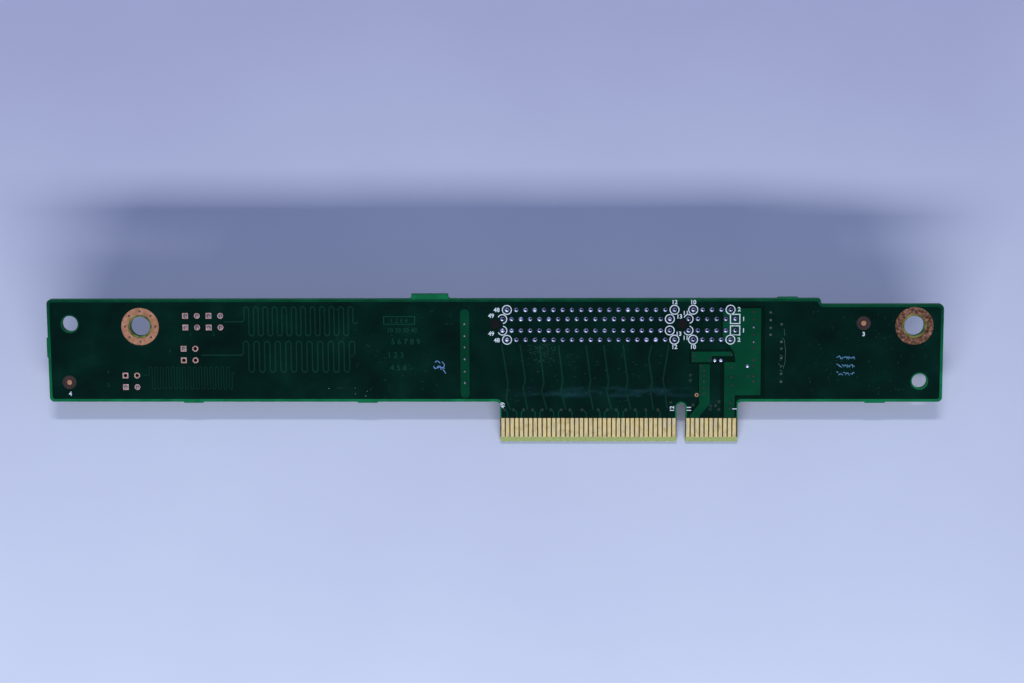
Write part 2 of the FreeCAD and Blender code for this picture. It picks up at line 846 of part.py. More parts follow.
def strapPlaces():
    for i in range(int(size("strap_count"))):
        yield f"dim.strap_first + {i} * dim.strap_pitch", "-dim.strap_drop"


def bulkPlaces():
    for i in range(int(size("bulk_count"))):
        yield "dim.bulk_across", f"-dim.bulk_first - {i} * dim.bulk_pitch"


def makeChips(prefix, kind, places, upright):
    # chip parts as a middle and two metal ends; upright ones lie along Y
    long, wide, high, end = (f"dim.{kind}_{word}" for word in ("long", "wide", "high", "end"))
    middles, ends = [], []
    for x, y in places:
        low = f"-{high}"
        core = f"{long} - 2 * {end}"
        if upright:
            middles.append((f"{x} - {wide} / 2", f"{y} - ({core}) / 2", low, wide, core, high))
            for start in (f"{y} - {long} / 2", f"{y} + {long} / 2 - {end}"):
                ends.append((f"{x} - {wide} / 2", start, low, wide, end, high))
        else:
            middles.append((f"{x} - ({core}) / 2", f"{y} - {wide} / 2", low, core, wide, high))
            for start in (f"{x} - {long} / 2", f"{x} + {long} / 2 - {end}"):
                ends.append((start, f"{y} - {wide} / 2", low, end, wide, high))
    return [boxGroup(f"{prefix}_bodies", middles), boxGroup(f"{prefix}_ends", ends)]


def makeBulkBodies():
    boxes = []
    for x, y in bulkPlaces():
        core = "dim.bulk_long - 2 * dim.bulk_lead"
        boxes.append(
            (
                f"{x} - ({core}) / 2",
                f"{y} - dim.bulk_wide / 2",
                "-dim.bulk_high",
                core,
                "dim.bulk_wide",
                "dim.bulk_high - dim.bulk_lead",
            )
        )
    return boxGroup("bulk_capacitor_bodies", boxes)


def prism(points, y, wide):
    # a section in X and Z drawn out along Y, centred on y
    wire = Part.makePolygon([Vector(x, y - wide / 2, z) for x, z in points + points[:1]])
    return Part.Face(wire).extrude(Vector(0, wide, 0))


def makeBulkLeads():
    # each lead is bent up the end of the body from a foot under it
    half, lead = size("bulk_long") / 2, size("bulk_lead")
    foot = size("bulk_foot")
    rise = size("bulk_lead_high")
    solids = []
    for i in range(int(size("bulk_count"))):
        y = -size("bulk_first") - i * size("bulk_pitch")
        for side in (-1, 1):
            section = [
                (half - foot, 0),
                (half, 0),
                (half, -rise),
                (half - lead, -rise),
                (half - lead, -lead),
                (half - foot, -lead),
            ]
            points = [(size("bulk_across") + side * x, z) for x, z in section]
            solids.append(prism(points, y, size("bulk_lead_wide")))
    group = doc.addObject("Part::Feature", "bulk_capacitor_leads")
    group.Shape = Part.makeCompound(solids)
    return group


def makeBeads():
    # the solder bead at each end of the parts on the component face
    bead = size("bead")
    solids = []

    def endBeads(x, y, half, wide, high):
        rise = min(size("bead_high"), high)
        for side in (-1, 1):
            points = [(x + side * half, 0), (x + side * (half + bead), 0), (x + side * half, -rise)]
            solids.append(prism(points, y, wide))

    for i in range(int(size("bulk_count"))):
        y = -size("bulk_first") - i * size("bulk_pitch")
        endBeads(size("bulk_across"), y, size("bulk_long") / 2, size("bulk_lead_wide"), size("bulk_lead_high"))
    for i in range(int(size("chip_count"))):
        y = size("chip_first") - i * size("chip_pitch")
        endBeads(size("chip_across"), y, size("chip_long") / 2, size("chip_wide"), size("chip_high"))
    turn = Rotation(Vector(0, 0, 1), 90)
    across = len(solids)
    for i in range(int(size("strap_count"))):
        endBeads(0, 0, size("strap_long") / 2, size("strap_wide"), size("strap_high"))
        x = size("strap_first") + i * size("strap_pitch")
        for solid in solids[across + 2 * i:]:
            solid.Placement = Placement(Vector(x, -size("strap_drop"), 0), turn)
    group = doc.addObject("Part::Feature", "chip_solder_beads")
    group.Shape = Part.makeCompound(solids)
    return group


# the card:

pieces = [makeBoard(), makeHousing()]
for rowName in ("inner", "outer"):
    for sideName, side in (("upper", 1), ("lower", -1)):
        pieces.append(makeContacts(f"contacts_{sideName}_{rowName}", rowName, side))
    pieces.append(makeSolder(f"solder_joints_{rowName}", rowName))
pieces.append(makeFingers("edge_contacts_solder_side", "dim.board_thick", False))
pieces.append(makeFingers("edge_contacts_component_side", "0", True))
pieces.append(makeScrewRings())
pieces.append(makeProbePads("test_pads_open", True))
pieces.append(makeProbePads("test_pads_filled", False))
pieces += [makeFiducials(), makeGroundStrip(), makePowerArea(), makeKeyArea()]
pieces += [makeBulkBodies(), makeBulkLeads()]
pieces += makeChips("ceramic_capacitor", "chip", chipPlaces(), False)
pieces += makeChips("strap_resistor", "strap", strapPlaces(), True)
pieces.append(makeBeads())

for piece in pieces:
    if piece.Placement != restPlace:
        piece.Placement = restPlace
doc.recompute()

for item in doc.Objects:
    if "Invalid" in item.State or "Error" in item.State:
        raise RuntimeError(f"{item.Label} failed: {item.State}")
for piece in pieces:
    if piece.Shape.isNull() or not piece.Shape.isValid():
        raise RuntimeError(f"{piece.Label} has no valid shape")

for piece in pieces:
    piece.Shape.exportStep(f"parts/{piece.Label}.step")
    print(piece.Label, len(piece.Shape.Solids), "solids", round(piece.Shape.Volume, 2), "mm3")
print("tilt", round(math.degrees(tilt), 3))
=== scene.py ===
import math

import bmesh
import bpy
from mathutils import Euler, Matrix, Vector


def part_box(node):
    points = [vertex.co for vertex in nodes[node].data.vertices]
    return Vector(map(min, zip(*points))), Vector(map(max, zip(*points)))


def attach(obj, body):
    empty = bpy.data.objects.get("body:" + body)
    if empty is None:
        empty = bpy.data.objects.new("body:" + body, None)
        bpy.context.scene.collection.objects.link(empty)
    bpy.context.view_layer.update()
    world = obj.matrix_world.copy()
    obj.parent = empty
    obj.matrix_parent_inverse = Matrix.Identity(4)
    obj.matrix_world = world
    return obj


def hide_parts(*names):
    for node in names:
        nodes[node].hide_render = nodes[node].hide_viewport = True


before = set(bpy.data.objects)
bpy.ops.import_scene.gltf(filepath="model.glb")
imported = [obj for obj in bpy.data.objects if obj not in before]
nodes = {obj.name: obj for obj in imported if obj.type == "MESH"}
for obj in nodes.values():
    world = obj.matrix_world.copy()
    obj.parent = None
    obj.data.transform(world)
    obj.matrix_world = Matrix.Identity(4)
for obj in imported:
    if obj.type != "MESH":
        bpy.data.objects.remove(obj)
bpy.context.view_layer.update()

# Riser card, lying solder side up. Every piece is drawn in the card's own frame in millimetres:
# u along the card from the key notch, v up the card from the slot's centre line and
# z out of the component face, so the solder face is at z = 1.57. cardPlace takes it to the table.

scene = bpy.context.scene

card = {
    "tilt": 27.971,  # degrees that the card leans back
    "thick": 1.57,
    "left": -137.15,
    "right": 56.05,
    "top": 5.62,
    "bottom": -16.85,
    "stepFrom": 29.8,
    "stepDrop": 1.25,
    "tabTop": 6.67,
    "tongueLeft": -39.1,
    "tongueRight": 12.2,
    "maskEnd": -20.42,  # bare laminate below this line
    "bevelFrom": -24.55,
    "notchHalf": 0.95,
    "notchTop": -17.1,
    "toolHoles": [(-132.25, 0.27), (51.13, -12.32)],
    "screwHoles": [(-116.93, -0.3), (49.8, -0.3)],
    "pegHoles": [(-40.15, 0), (0.2, 0)],
    "fiducials": [(-132.73, -12.56), (38.98, 0.29)],
}
lean = math.radians(card["tilt"])
face = card["thick"]
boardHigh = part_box("circuit_board")[1]
cardShift = Vector((
    boardHigh.x - card["right"] / 1000,
    boardHigh.y - card["tabTop"] * math.cos(lean) / 1000,
    boardHigh.z - (card["tabTop"] * math.sin(lean) + face * math.cos(lean)) / 1000,
))
cardPlace = Matrix.Translation(cardShift) @ Matrix.Rotation(lean, 4, "X") @ Matrix.Scale(0.001, 4)
outward = (0.0, -math.sin(lean), math.cos(lean))  # the solder face looks this way


def linear(code):
    parts = [int(code[i:i + 2], 16) / 255 for i in (1, 3, 5)]
    return tuple(c / 12.92 if c < 0.04045 else ((c + 0.055) / 1.055) ** 2.4 for c in parts) + (1.0,)


def addNode(tree, kind, **given):
    # a name in small letters is one of the node's settings, and stops are those of a colour ramp; a socket goes
    # by its name, with _ for a space, or by its place, as i0, and takes a value, a socket or a node's live output
    made = tree.nodes.new(kind)
    for name, value in given.items():
        if name == "stops":
            points = made.color_ramp.elements
            while len(points) < len(value):
                points.new(0.5)
            for point, (spot, colour) in zip(points, value):
                point.position, point.color = spot, linear(colour)
            continue
        if name[1:].isdigit():
            into = made.inputs[int(name[1:])]
        elif name.islower():
            setattr(made, name, value)
            continue
        else:
            into = next(s for s in made.inputs if s.enabled and s.name == name.replace("_", " "))
        if isinstance(value, bpy.types.Node):
            value = next(s for s in value.outputs if s.enabled)
        if isinstance(value, bpy.types.NodeSocket):
            tree.links.new(value, into)
        else:
            into.default_value = value
    return made


# camera, on the spot where the card fills the frame from end to end
view = {
    "eye": (-20.1, 80.09, 510.16),  # from the solder face, in the card's frame
    "turn": (-9.32, 1.81, -0.04),
    "lens": 84.375,
    "sensor": 36,
    "nearest": 0.01,
}
cameraData = bpy.data.cameras.new("camera")
cameraData.lens = view["lens"]
cameraData.sensor_width = view["sensor"]
cameraData.clip_start = view["nearest"]
camera = bpy.data.objects.new("camera", cameraData)
scene.collection.objects.link(camera)
eyeTurn = Euler([math.radians(a) for a in view["turn"]], "ZYX").to_matrix().to_4x4()
eyeSpot = cardPlace @ Vector((view["eye"][0], view["eye"][1], view["eye"][2] + face))
camera.matrix_world = Matrix.Translation(eyeSpot) @ Matrix.Rotation(lean, 4, "X") @ eyeTurn
scene.camera = camera

# two soft lamps, one each side of the card, and a cool sky that fills the shadows
studio = {
    "lampFar": 2.0,
    "window": {"size": (2.3, 0.25), "power": 43.0, "high": 27, "side": -1},  # long and low, in front
    "strip": {"size": (0.77, 0.14), "power": 9.6, "high": 65, "side": 1},  # behind the card
    "lampTint": "#FAFBFF",
    "ambient": "#7CA5FF",
    "ambientLevel": 0.255,
    "sky": "#A9B4DC",
}
scene.view_settings.view_transform = "Standard"
for name in ("window", "strip"):
    lamp = bpy.data.lights.new(name, "AREA")
    lamp.shape = "RECTANGLE"
    lamp.size, lamp.size_y = studio[name]["size"]
    lamp.energy = studio[name]["power"]
    lamp.color = linear(studio["lampTint"])[:3]
    high = math.radians(studio[name]["high"])
    spot = Vector((0, studio[name]["side"] * math.cos(high), math.sin(high))) * studio["lampFar"]
    lampObject = bpy.data.objects.new(name, lamp)
    lampObject.location = spot
    lampObject.rotation_euler = (-spot).to_track_quat("-Z", "Y").to_euler()
    scene.collection.objects.link(lampObject)


def seenRay(tree):
    # 1 where a ray only looks, straight or by a reflection, and 0 where it carries light
    path = addNode(tree, "ShaderNodeLightPath").outputs
    seen = addNode(tree, "ShaderNodeMath", operation="MAXIMUM", i0=path["Is Camera Ray"],
                   i1=path["Is Glossy Ray"])
    return addNode(tree, "ShaderNodeMath", operation="MAXIMUM", i0=seen, i1=path["Is Transmission Ray"])


world = bpy.data.worlds.new("studio")
scene.world = world
world.use_nodes = True
sky = world.node_tree
sky.nodes.clear()
lit = addNode(sky, "ShaderNodeBackground", Color=linear(studio["ambient"]), Strength=studio["ambientLevel"])
shown = addNode(sky, "ShaderNodeBackground", Color=linear(studio["sky"]), Strength=1.0)
both = addNode(sky, "ShaderNodeMixShader", i0=seenRay(sky), i1=lit, i2=shown)
addNode(sky, "ShaderNodeOutputWorld", Surface=both)
print("camera, lamps and sky are set")

# how often each pattern repeats in a millimetre of card; the sizes are estimates, and none was measured
perMm = {
    "pool": 0.16,  # mask pools in patches 6 mm across
    "smear": 0.42,  # flux wiped out in streaks 2 to 5 mm long
    "dust": 2.2,  # nibs baked into the mask, 0.45 mm apart
    "resin": 0.35,  # resin-rich patches of the laminate, 3 mm
    "cut": 1.6,  # tears of the bevelling cutter, 0.6 mm
    "ply": 1.3,  # glass plies on a sawn edge, 0.1 mm apart once squeezed seven times
    "wipe": 5.0,  # scratches of a mating contact, 0.2 mm apart
    "stain": 0.9,  # finger marks on gold and tarnish on copper, 1 mm
    "tarnish": 1.1,
    "rub": 1.7,  # metal rubbed by a screw head, 0.6 mm
    "scratch": 3.0,  # brush marks on copper, at 0.3 mm coarser than life so that they show
    "grain": 1.4,  # grain of cooled solder, 0.7 mm, and its frost, 0.25 mm
    "frost": 4.0,
    "mottle": 0.8,  # uneven pigment, 1.2 mm
    "case": 1.2,
    "sand": 6.0,  # matt skin of a mould, at 0.17 mm coarser than life too
    "film": 3.0,  # thin spots of ink, 0.3 mm
}


def startMaterial(name):
    made = bpy.data.materials.new(name)
    made.use_nodes = True
    made.node_tree.nodes.clear()
    return made, made.node_tree


def closeMaterial(made, tree, height, deep, strength, **sockets):
    # a principled surface whose skin rises deep metres
    skin = addNode(tree, "ShaderNodeBump", Height=height, Distance=deep, Strength=strength)
    shader = addNode(tree, "ShaderNodeBsdfPrincipled", Normal=skin, **sockets)
    addNode(tree, "ShaderNodeOutputMaterial", Surface=shader)
    return made


def cardSpace(tree):
    # the card's own frame in millimetres, from Object coordinates
    place = addNode(tree, "ShaderNodeTexCoord").outputs["Object"]
    return addNode(tree, "ShaderNodeMapping", vector_type="TEXTURE", Vector=place, Location=cardShift,
                   Rotation=(lean, 0, 0), Scale=(0.001, 0.001, 0.001))


def clouded(tree, space, often, detail, stops, stretch=(1, 1, 1)):
    # soft patches that run through the colours of a ramp
    spread = addNode(tree, "ShaderNodeMapping", Vector=space, Scale=stretch)
    patches = addNode(tree, "ShaderNodeTexNoise", Vector=spread, Scale=often, Detail=detail)
    return addNode(tree, "ShaderNodeValToRGB", Fac=patches, stops=stops)


def glassCloth(tree, space, spacing):
    # woven glass cloth, one thread every spacing millimetres
    often = math.tau / 20 / spacing
    warp, weft = [addNode(tree, "ShaderNodeTexWave", bands_direction=way, Vector=space, Scale=often,
                          Distortion=0.4).outputs["Fac"] for way in ("X", "Y")]
    return addNode(tree, "ShaderNodeMath", operation="MULTIPLY", i0=warp, i1=weft)


# the wiped band above the edge contacts: where it fades in and out, and how strong it is
haze = {
    "colour": "#1F434A",
    "fades": [("Y", -16.1, -15.4, 0.0), ("Y", -14.3, -13.2, 1.0), ("X", -39.0, -30.0, 0.0), ("X", -4.0, 6.0, 1.0)],
    "stretch": (0.5, 1.6, 1),
    "strength": 0.5,
}


def maskMaterial(name, dark, mid, light, hazy=False):
    # liquid photo-imaged solder mask, screened and baked: a satin green film that pools in soft clouds, with
    # the glass cloth just felt through it and so little shine that copper shows only by its colour
    made, tree = startMaterial(name)
    space = cardSpace(tree)
    base = clouded(tree, space, perMm["pool"], 6.0, [(0.25, dark), (0.55, mid), (0.85, light)])
    if hazy:
        lines = addNode(tree, "ShaderNodeSeparateXYZ", Vector=space).outputs
        streaks = addNode(tree, "ShaderNodeMapping", Vector=space, Scale=haze["stretch"])
        streaks = addNode(tree, "ShaderNodeTexNoise", Vector=streaks, Scale=perMm["smear"], Detail=5.0)
        smear = addNode(tree, "ShaderNodeMapRange", Value=streaks, From_Min=0.38, From_Max=0.66,
                        To_Max=haze["strength"])
        for axis, near, far, before in haze["fades"]:
            fade = addNode(tree, "ShaderNodeMapRange", interpolation_type="SMOOTHSTEP", Value=lines[axis],
                           From_Min=near, From_Max=far, To_Min=before, To_Max=1.0 - before)
            smear = addNode(tree, "ShaderNodeMath", operation="MULTIPLY", i0=smear, i1=fade)
        base = addNode(tree, "ShaderNodeMix", data_type="RGBA", Factor=smear, A=base, B=linear(haze["colour"]))
    dust = addNode(tree, "ShaderNodeTexNoise", Vector=space, Scale=perMm["dust"], Detail=2.0)
    satin = addNode(tree, "ShaderNodeMapRange", Value=dust, From_Min=0.35, From_Max=0.7, To_Min=0.34, To_Max=0.56)
    return closeMaterial(made, tree, glassCloth(tree, space, 0.55), 4e-6, 0.5, Base_Color=base, Metallic=0.0,
                         Roughness=satin, IOR=1.5, Specular_IOR_Level=0.02)


def laminateMaterial():
    # FR4 glass-epoxy laminate under mask: green where no copper backs the mask, brightest along the lower edge by
    # painted light, bare and olive at the tongue's tip, paler where the cutter bevelled it, and sawn edges that
    # show the glass plies
    made, tree = startMaterial("maskedLaminate")
    space = cardSpace(tree)
    lines = addNode(tree, "ShaderNodeSeparateXYZ", Vector=space).outputs
    # two copies of the masked border, a lit one and a shaded one, for painted light and shade
    lower = clouded(tree, space, perMm["resin"], 4.0, [(0.3, "#0A5A36"), (0.55, "#0E6A40"), (0.8, "#15794C")])
    upper = clouded(tree, space, perMm["resin"], 4.0, [(0.3, "#023320"), (0.55, "#033D27"), (0.8, "#074A30")])
    # painted light and shade: the border is lighter along the lower edge, which faces the front lamp, and darker
    # towards the upper edge, but its break-off tabs aren't
    height = addNode(tree, "ShaderNodeMapRange", Value=lines["Y"], From_Min=-15.0, From_Max=5.0)
    tab = addNode(tree, "ShaderNodeMapRange", Value=lines["Y"], From_Min=5.4, From_Max=5.8, To_Min=1.0, To_Max=0.2)
    height = addNode(tree, "ShaderNodeMath", operation="MULTIPLY", i0=height, i1=tab)
    masked = addNode(tree, "ShaderNodeMix", data_type="RGBA", Factor=height, A=lower, B=upper)
    weave = glassCloth(tree, space, 0.5)
    bare = addNode(tree, "ShaderNodeValToRGB", Fac=weave,
                   stops=[(0.1, "#4E3F16"), (0.6, "#6E5A24"), (0.95, "#85713A")])
    bevel = clouded(tree, space, perMm["cut"], 4.0, [(0.3, "#848F52"), (0.55, "#9BA566"), (0.8, "#AFB77E")],
                    (1.2, 4.0, 1))
    edge = clouded(tree, space, perMm["ply"], 4.0, [(0.3, "#12512C"), (0.55, "#1F6B39"), (0.8, "#5E8348")],
                   (0.25, 0.25, 7))
    atTip = addNode(tree, "ShaderNodeMath", operation="LESS_THAN", i0=lines["Y"], i1=card["bevelFrom"])
    uncovered = addNode(tree, "ShaderNodeMath", operation="LESS_THAN", i0=lines["Y"], i1=card["maskEnd"])
    normal = addNode(tree, "ShaderNodeTexCoord").outputs["Normal"]
    facing = addNode(tree, "ShaderNodeVectorMath", operation="DOT_PRODUCT", i0=normal, i1=outward)
    sawn = addNode(tree, "ShaderNodeMath", operation="ABSOLUTE", i0=facing.outputs["Value"])
    sawn = addNode(tree, "ShaderNodeMath", operation="LESS_THAN", i0=sawn, i1=0.8)
    base = addNode(tree, "ShaderNodeMix", data_type="RGBA", Factor=atTip, A=bare, B=bevel)
    base = addNode(tree, "ShaderNodeMix", data_type="RGBA", Factor=uncovered, A=masked, B=base)
    base = addNode(tree, "ShaderNodeMix", data_type="RGBA", Factor=sawn, A=base, B=edge)
    return closeMaterial(made, tree, weave, 12e-6, 0.6, Base_Color=base, Metallic=0.0, Roughness=0.45, IOR=1.52,
                         Specular_IOR_Level=0.03)


def goldMaterial(name, worn):
    # hard gold flash over nickel, electroplated: pale yellow metal, brighter along the lengthwise scratches
    # that a mating slot leaves and browner where fingers stained it
    made, tree = startMaterial(name)
    space = cardSpace(tree)
    wipes = addNode(tree, "ShaderNodeMapping", Vector=space, Scale=(1.0, 0.06, 1))
    wipes = addNode(tree, "ShaderNodeTexNoise", Vector=wipes, Scale=perMm["wipe"], Detail=3.0)
    tone = addNode(tree, "ShaderNodeValToRGB", Fac=wipes,
                   stops=[(0.32, "#A68B4B"), (0.5, "#CFBB81"), (0.68, "#E8DDB3")])
    stain = clouded(tree, space, perMm["stain"], 4.0, [(0.3, "#8F7838"), (0.45, "#D6C48A"), (0.8, "#E8DDB0")])
    base = addNode(tree, "ShaderNodeMix", data_type="RGBA", Factor=0.35, A=tone, B=stain)
    rough = addNode(tree, "ShaderNodeMapRange", Value=wipes, From_Min=0.3, From_Max=0.7, To_Min=0.42, To_Max=0.2)
    return closeMaterial(made, tree, wipes, 6e-6, worn, Base_Color=base, Metallic=1.0, Roughness=rough)


def copperMaterial():
    # bare copper land under a thin organic coat: pink and matt on the left, rubbed brown by a screw on the right
    made, tree = startMaterial("coatedCopper")
    space = cardSpace(tree)
    lines = addNode(tree, "ShaderNodeSeparateXYZ", Vector=space).outputs
    fresh = clouded(tree, space, perMm["tarnish"], 5.0, [(0.3, "#82583F"), (0.55, "#946B53"), (0.8, "#A67F69")])
    rubbed = clouded(tree, space, perMm["rub"], 6.0,
                     [(0.32, "#332118"), (0.47, "#543A2B"), (0.6, "#735342"), (0.78, "#9A7A69")])
    atRight = addNode(tree, "ShaderNodeMath", operation="GREATER_THAN", i0=lines["X"], i1=40.0)
    base = addNode(tree, "ShaderNodeMix", data_type="RGBA", Factor=atRight, A=fresh, B=rubbed)
    brushed = addNode(tree, "ShaderNodeTexNoise", Vector=space, Scale=perMm["scratch"], Detail=4.0)
    return closeMaterial(made, tree, brushed, 10e-6, 0.5, Base_Color=base, Metallic=1.0, Roughness=0.45)


def solderMaterial(name, colours, rough):
    # tin solder, frozen as it cooled: cool white metal, clouded by a faint frost
    made, tree = startMaterial(name)
    space = cardSpace(tree)
    tone = clouded(tree, space, perMm["grain"], 4.0, list(zip((0.3, 0.5, 0.75), colours)))
    frost = addNode(tree, "ShaderNodeTexNoise", Vector=space, Scale=perMm["frost"], Detail=3.0)
    return closeMaterial(made, tree, frost, 6e-6, 0.4, Base_Color=tone, Metallic=1.0, Roughness=rough)


def mouldedMaterial(name, dark, light, rough, grit, deep, gloss=0.5):
    # moulded resin, fired ceramic or a drilled wall: even colour, its shine broken by a skin that is pitted
    # grit times in a millimetre and deep millimetres down
    made, tree = startMaterial(name)
    space = cardSpace(tree)
    tone = clouded(tree, space, perMm["mottle"], 5.0, [(0.35, dark), (0.7, light)])
    pits = addNode(tree, "ShaderNodeTexNoise", Vector=space, Scale=grit, Detail=2.0)
    satin = addNode(tree, "ShaderNodeMapRange", Value=pits, From_Min=0.3, From_Max=0.7, To_Min=rough - 0.08,
                    To_Max=rough + 0.1)
    return closeMaterial(made, tree, pits, deep / 1000, 0.6, Base_Color=tone, Metallic=0.0, Roughness=satin,
                         IOR=1.5, Specular_IOR_Level=gloss)


def tantalumMaterial():
    # moulded epoxy case of a tantalum capacitor: matt ochre, with the brown bar that marks its positive end
    made, tree = startMaterial("mouldedEpoxy")
    space = cardSpace(tree)
    lines = addNode(tree, "ShaderNodeSeparateXYZ", Vector=space).outputs
    case = clouded(tree, space, perMm["case"], 4.0, [(0.3, "#B37C18"), (0.7, "#D09A30")])
    bar = addNode(tree, "ShaderNodeMath", operation="LESS_THAN", i0=lines["X"], i1=17.7)
    base = addNode(tree, "ShaderNodeMix", data_type="RGBA", Factor=bar, A=case, B=linear("#5C2C10"))
    sand = addNode(tree, "ShaderNodeTexNoise", Vector=space, Scale=perMm["sand"], Detail=2.0)
    return closeMaterial(made, tree, sand, 10e-6, 0.5, Base_Color=base, Metallic=0.0, Roughness=0.5, IOR=1.5)


def inkMaterial(name, thick, thin):
    # screened or stamped epoxy ink: matt, and darker where the film is thin and the mask shows through
    made, tree = startMaterial(name)
    film = addNode(tree, "ShaderNodeTexNoise", Vector=cardSpace(tree), Scale=perMm["film"], Detail=4.0)
    tone = addNode(tree, "ShaderNodeValToRGB", Fac=film, stops=[(0.3, thin), (0.5, thick)])
    return closeMaterial(made, tree, film, 6e-6, 0.4, Base_Color=tone, Metallic=0.0, Roughness=0.6, IOR=1.5,
                         Specular_IOR_Level=0.3)


finish = {
    "board": laminateMaterial(),
    "plane": maskMaterial("maskOverPlane", "#011410", "#011E17", "#062A22", True),
    "gap": maskMaterial("maskOverGap", "#010E09", "#01160E", "#031C14"),  # no copper below: near black
    "copper": maskMaterial("maskOverCopper", "#02321F", "#033C26", "#08482F"),  # copper close below: greener
    "trace": maskMaterial("maskOverTrace", "#09291F", "#0C3126", "#123B2E"),
    "etch": maskMaterial("maskOverEtchedCopper", "#0C382B", "#113F32", "#184839"),
    "stub": maskMaterial("maskOverStub", "#04362A", "#074231", "#0C4E3B"),
    "viaRim": maskMaterial("maskOverViaRim", "#0A2A22", "#10362B", "#1B4638"),
    "gold": goldMaterial("goldPlateWiped", 0.6),
    "spring": goldMaterial("goldPlateSpring", 0.2),
    "land": copperMaterial(),
    "solder": solderMaterial("brightSolder", ("#7C7F98", "#9396AE", "#B2B6CC"), 0.36),
    "rim": solderMaterial("tinnedCopper", ("#86685F", "#9C7D74", "#B3958D"), 0.45),  # pink copper shows through
    "dull": solderMaterial("dullSolder", ("#5F5864", "#756D7A", "#928A9A"), 0.5),
    "tin": solderMaterial("mattTin", ("#9A9AA6", "#B8B8C2", "#D6D6DE"), 0.35),
    "collar": mouldedMaterial("countersunkLaminate", "#363B1A", "#7E8442", 0.45, 3.0, 0.01, 0.1),
    "clear": mouldedMaterial("clearedLaminate", "#1D1210", "#33231F", 0.45, 3.0, 0.006, 0.2),
    "viaHole": mouldedMaterial("tentedViaHole", "#1F1613", "#3C2E27", 0.4, 3.0, 0.006, 0.2),
    "dust": mouldedMaterial("tentedViaDusty", "#3B3836", "#6E6C68", 0.6, 3.0, 0.006, 0.2),
    # painted shade: near-black brown for the shade down inside the open test pad holes and the vias round the
    # screw holes
    "barrel": mouldedMaterial("holeWallPaintedShade", "#1A0A06", "#3A1C12", 0.5, 3.0, 0.01),
    # painted reflection and shade: near-black blue for the dark reflection on each solder dome and the shade in
    # each test pad pinhole
    "paintedDark": mouldedMaterial("paintedDarkSpots", "#0A0E24", "#1F2543", 0.6, 2.0, 0.004, 0.08),
    "nylon": mouldedMaterial("glassFilledNylon", "#040406", "#0A0A0E", 0.5, 5.0, 0.012, 0.08),
    "ceramic": mouldedMaterial("firedCeramic", "#8F7355", "#A98B68", 0.45, 4.0, 0.006),
    "glaze": mouldedMaterial("resistorGlaze", "#0C0C10", "#1A1A22", 0.3, 4.0, 0.004),
    "tantalum": tantalumMaterial(),
    "ink": inkMaterial("whiteInk", "#CDD8DE", "#93A4A8"),
    "stamp": inkMaterial("smudgedInk", "#5C8FB4", "#1F4350"),
    "pen": inkMaterial("penInk", "#6286B8", "#24405E"),
    "scuff": inkMaterial("scuffedMask", "#2B5650", "#17403A"),  # chalky, where the mask is scratched
}
print("materials are made:", len(finish))


def finishPiece(name, mesh, look, smooth=False, merge=True):
    # mesh is in card millimetres; it becomes a piece that stands where the card is, in the finish named by look
    if merge:
        work = bmesh.new()
        work.from_mesh(mesh)
        bmesh.ops.remove_doubles(work, verts=work.verts, dist=0.0004)
        bmesh.ops.recalc_face_normals(work, faces=work.faces)
        work.to_mesh(mesh)
        work.free()
    mesh.transform(cardPlace)
    mesh.materials.clear()
    mesh.materials.append(finish[look])
    mesh.polygons.foreach_set("use_smooth", [smooth] * len(mesh.polygons))
    piece = bpy.data.objects.new(name, mesh)
    scene.collection.objects.link(piece)
    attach(piece, "root")
    return piece


def meshOf(carrier):
    # the plain mesh of a curve, a text or an object with a modifier; the carrier is thrown away
    scene.collection.objects.link(carrier)
    bpy.context.view_layer.update()
    shape = carrier.evaluated_get(bpy.context.evaluated_depsgraph_get())
    mesh = bpy.data.meshes.new_from_object(shape)
    bpy.data.objects.remove(carrier)
    return mesh


def flatSheet(loops, low, high):
    # a level film from z = low to high; a loop inside another is a hole
    film = bpy.data.curves.new("film", "CURVE")
    film.dimensions = "2D"
    film.fill_mode = "BOTH"
    film.extrude = (high - low) / 2
    for loop in loops:
        spline = film.splines.new("POLY")
        spline.points.add(len(loop) - 1)
        for point, (u, v) in zip(spline.points, loop):
            point.co = (u, v, 0, 1)
        spline.use_cyclic_u = True
    mesh = meshOf(bpy.data.objects.new("film", film))
    mesh.transform(Matrix.Translation((0, 0, (low + high) / 2)))
    return mesh


def ring(u, v, across, start=0, sweep=360, steps=40):
    count = max(3, round(steps * abs(sweep) / 360))
    turns = [math.radians(start + sweep * i / count) for i in range(count + (abs(sweep) < 360))]
    return [(u + across / 2 * math.cos(a), v + across / 2 * math.sin(a)) for a in turns]


def box(left, bottom, right, top):
    return [(left, bottom), (right, bottom), (right, top), (left, top)]


def turned(profile, steps):
    # a closed turned shape from (radius, height) pairs, from its foot's centre to its top's centre
    points, faces = [], []
    for radius, high in profile:
        points += [(radius * math.cos(math.tau * i / steps), radius * math.sin(math.tau * i / steps), high)
                   for i in range(steps)]
    for row in range(len(profile) - 1):
        for i in range(steps):
            j = (i + 1) % steps
            faces.append((row * steps + i, row * steps + j, (row + 1) * steps + j, (row + 1) * steps + i))
    mesh = bpy.data.meshes.new("turned")
    mesh.from_pydata(points, [], faces)
    work = bmesh.new()
    work.from_mesh(mesh)
    bmesh.ops.remove_doubles(work, verts=work.verts, dist=0.0001)
    work.to_mesh(mesh)
    work.free()
    mesh.polygons.foreach_set("use_smooth", [True] * len(mesh.polygons))
    return mesh


def joined(meshes):
    work = bmesh.new()
    for mesh in meshes:
        work.from_mesh(mesh)
    whole = bpy.data.meshes.new("joined")
    work.to_mesh(whole)
    work.free()
    return whole


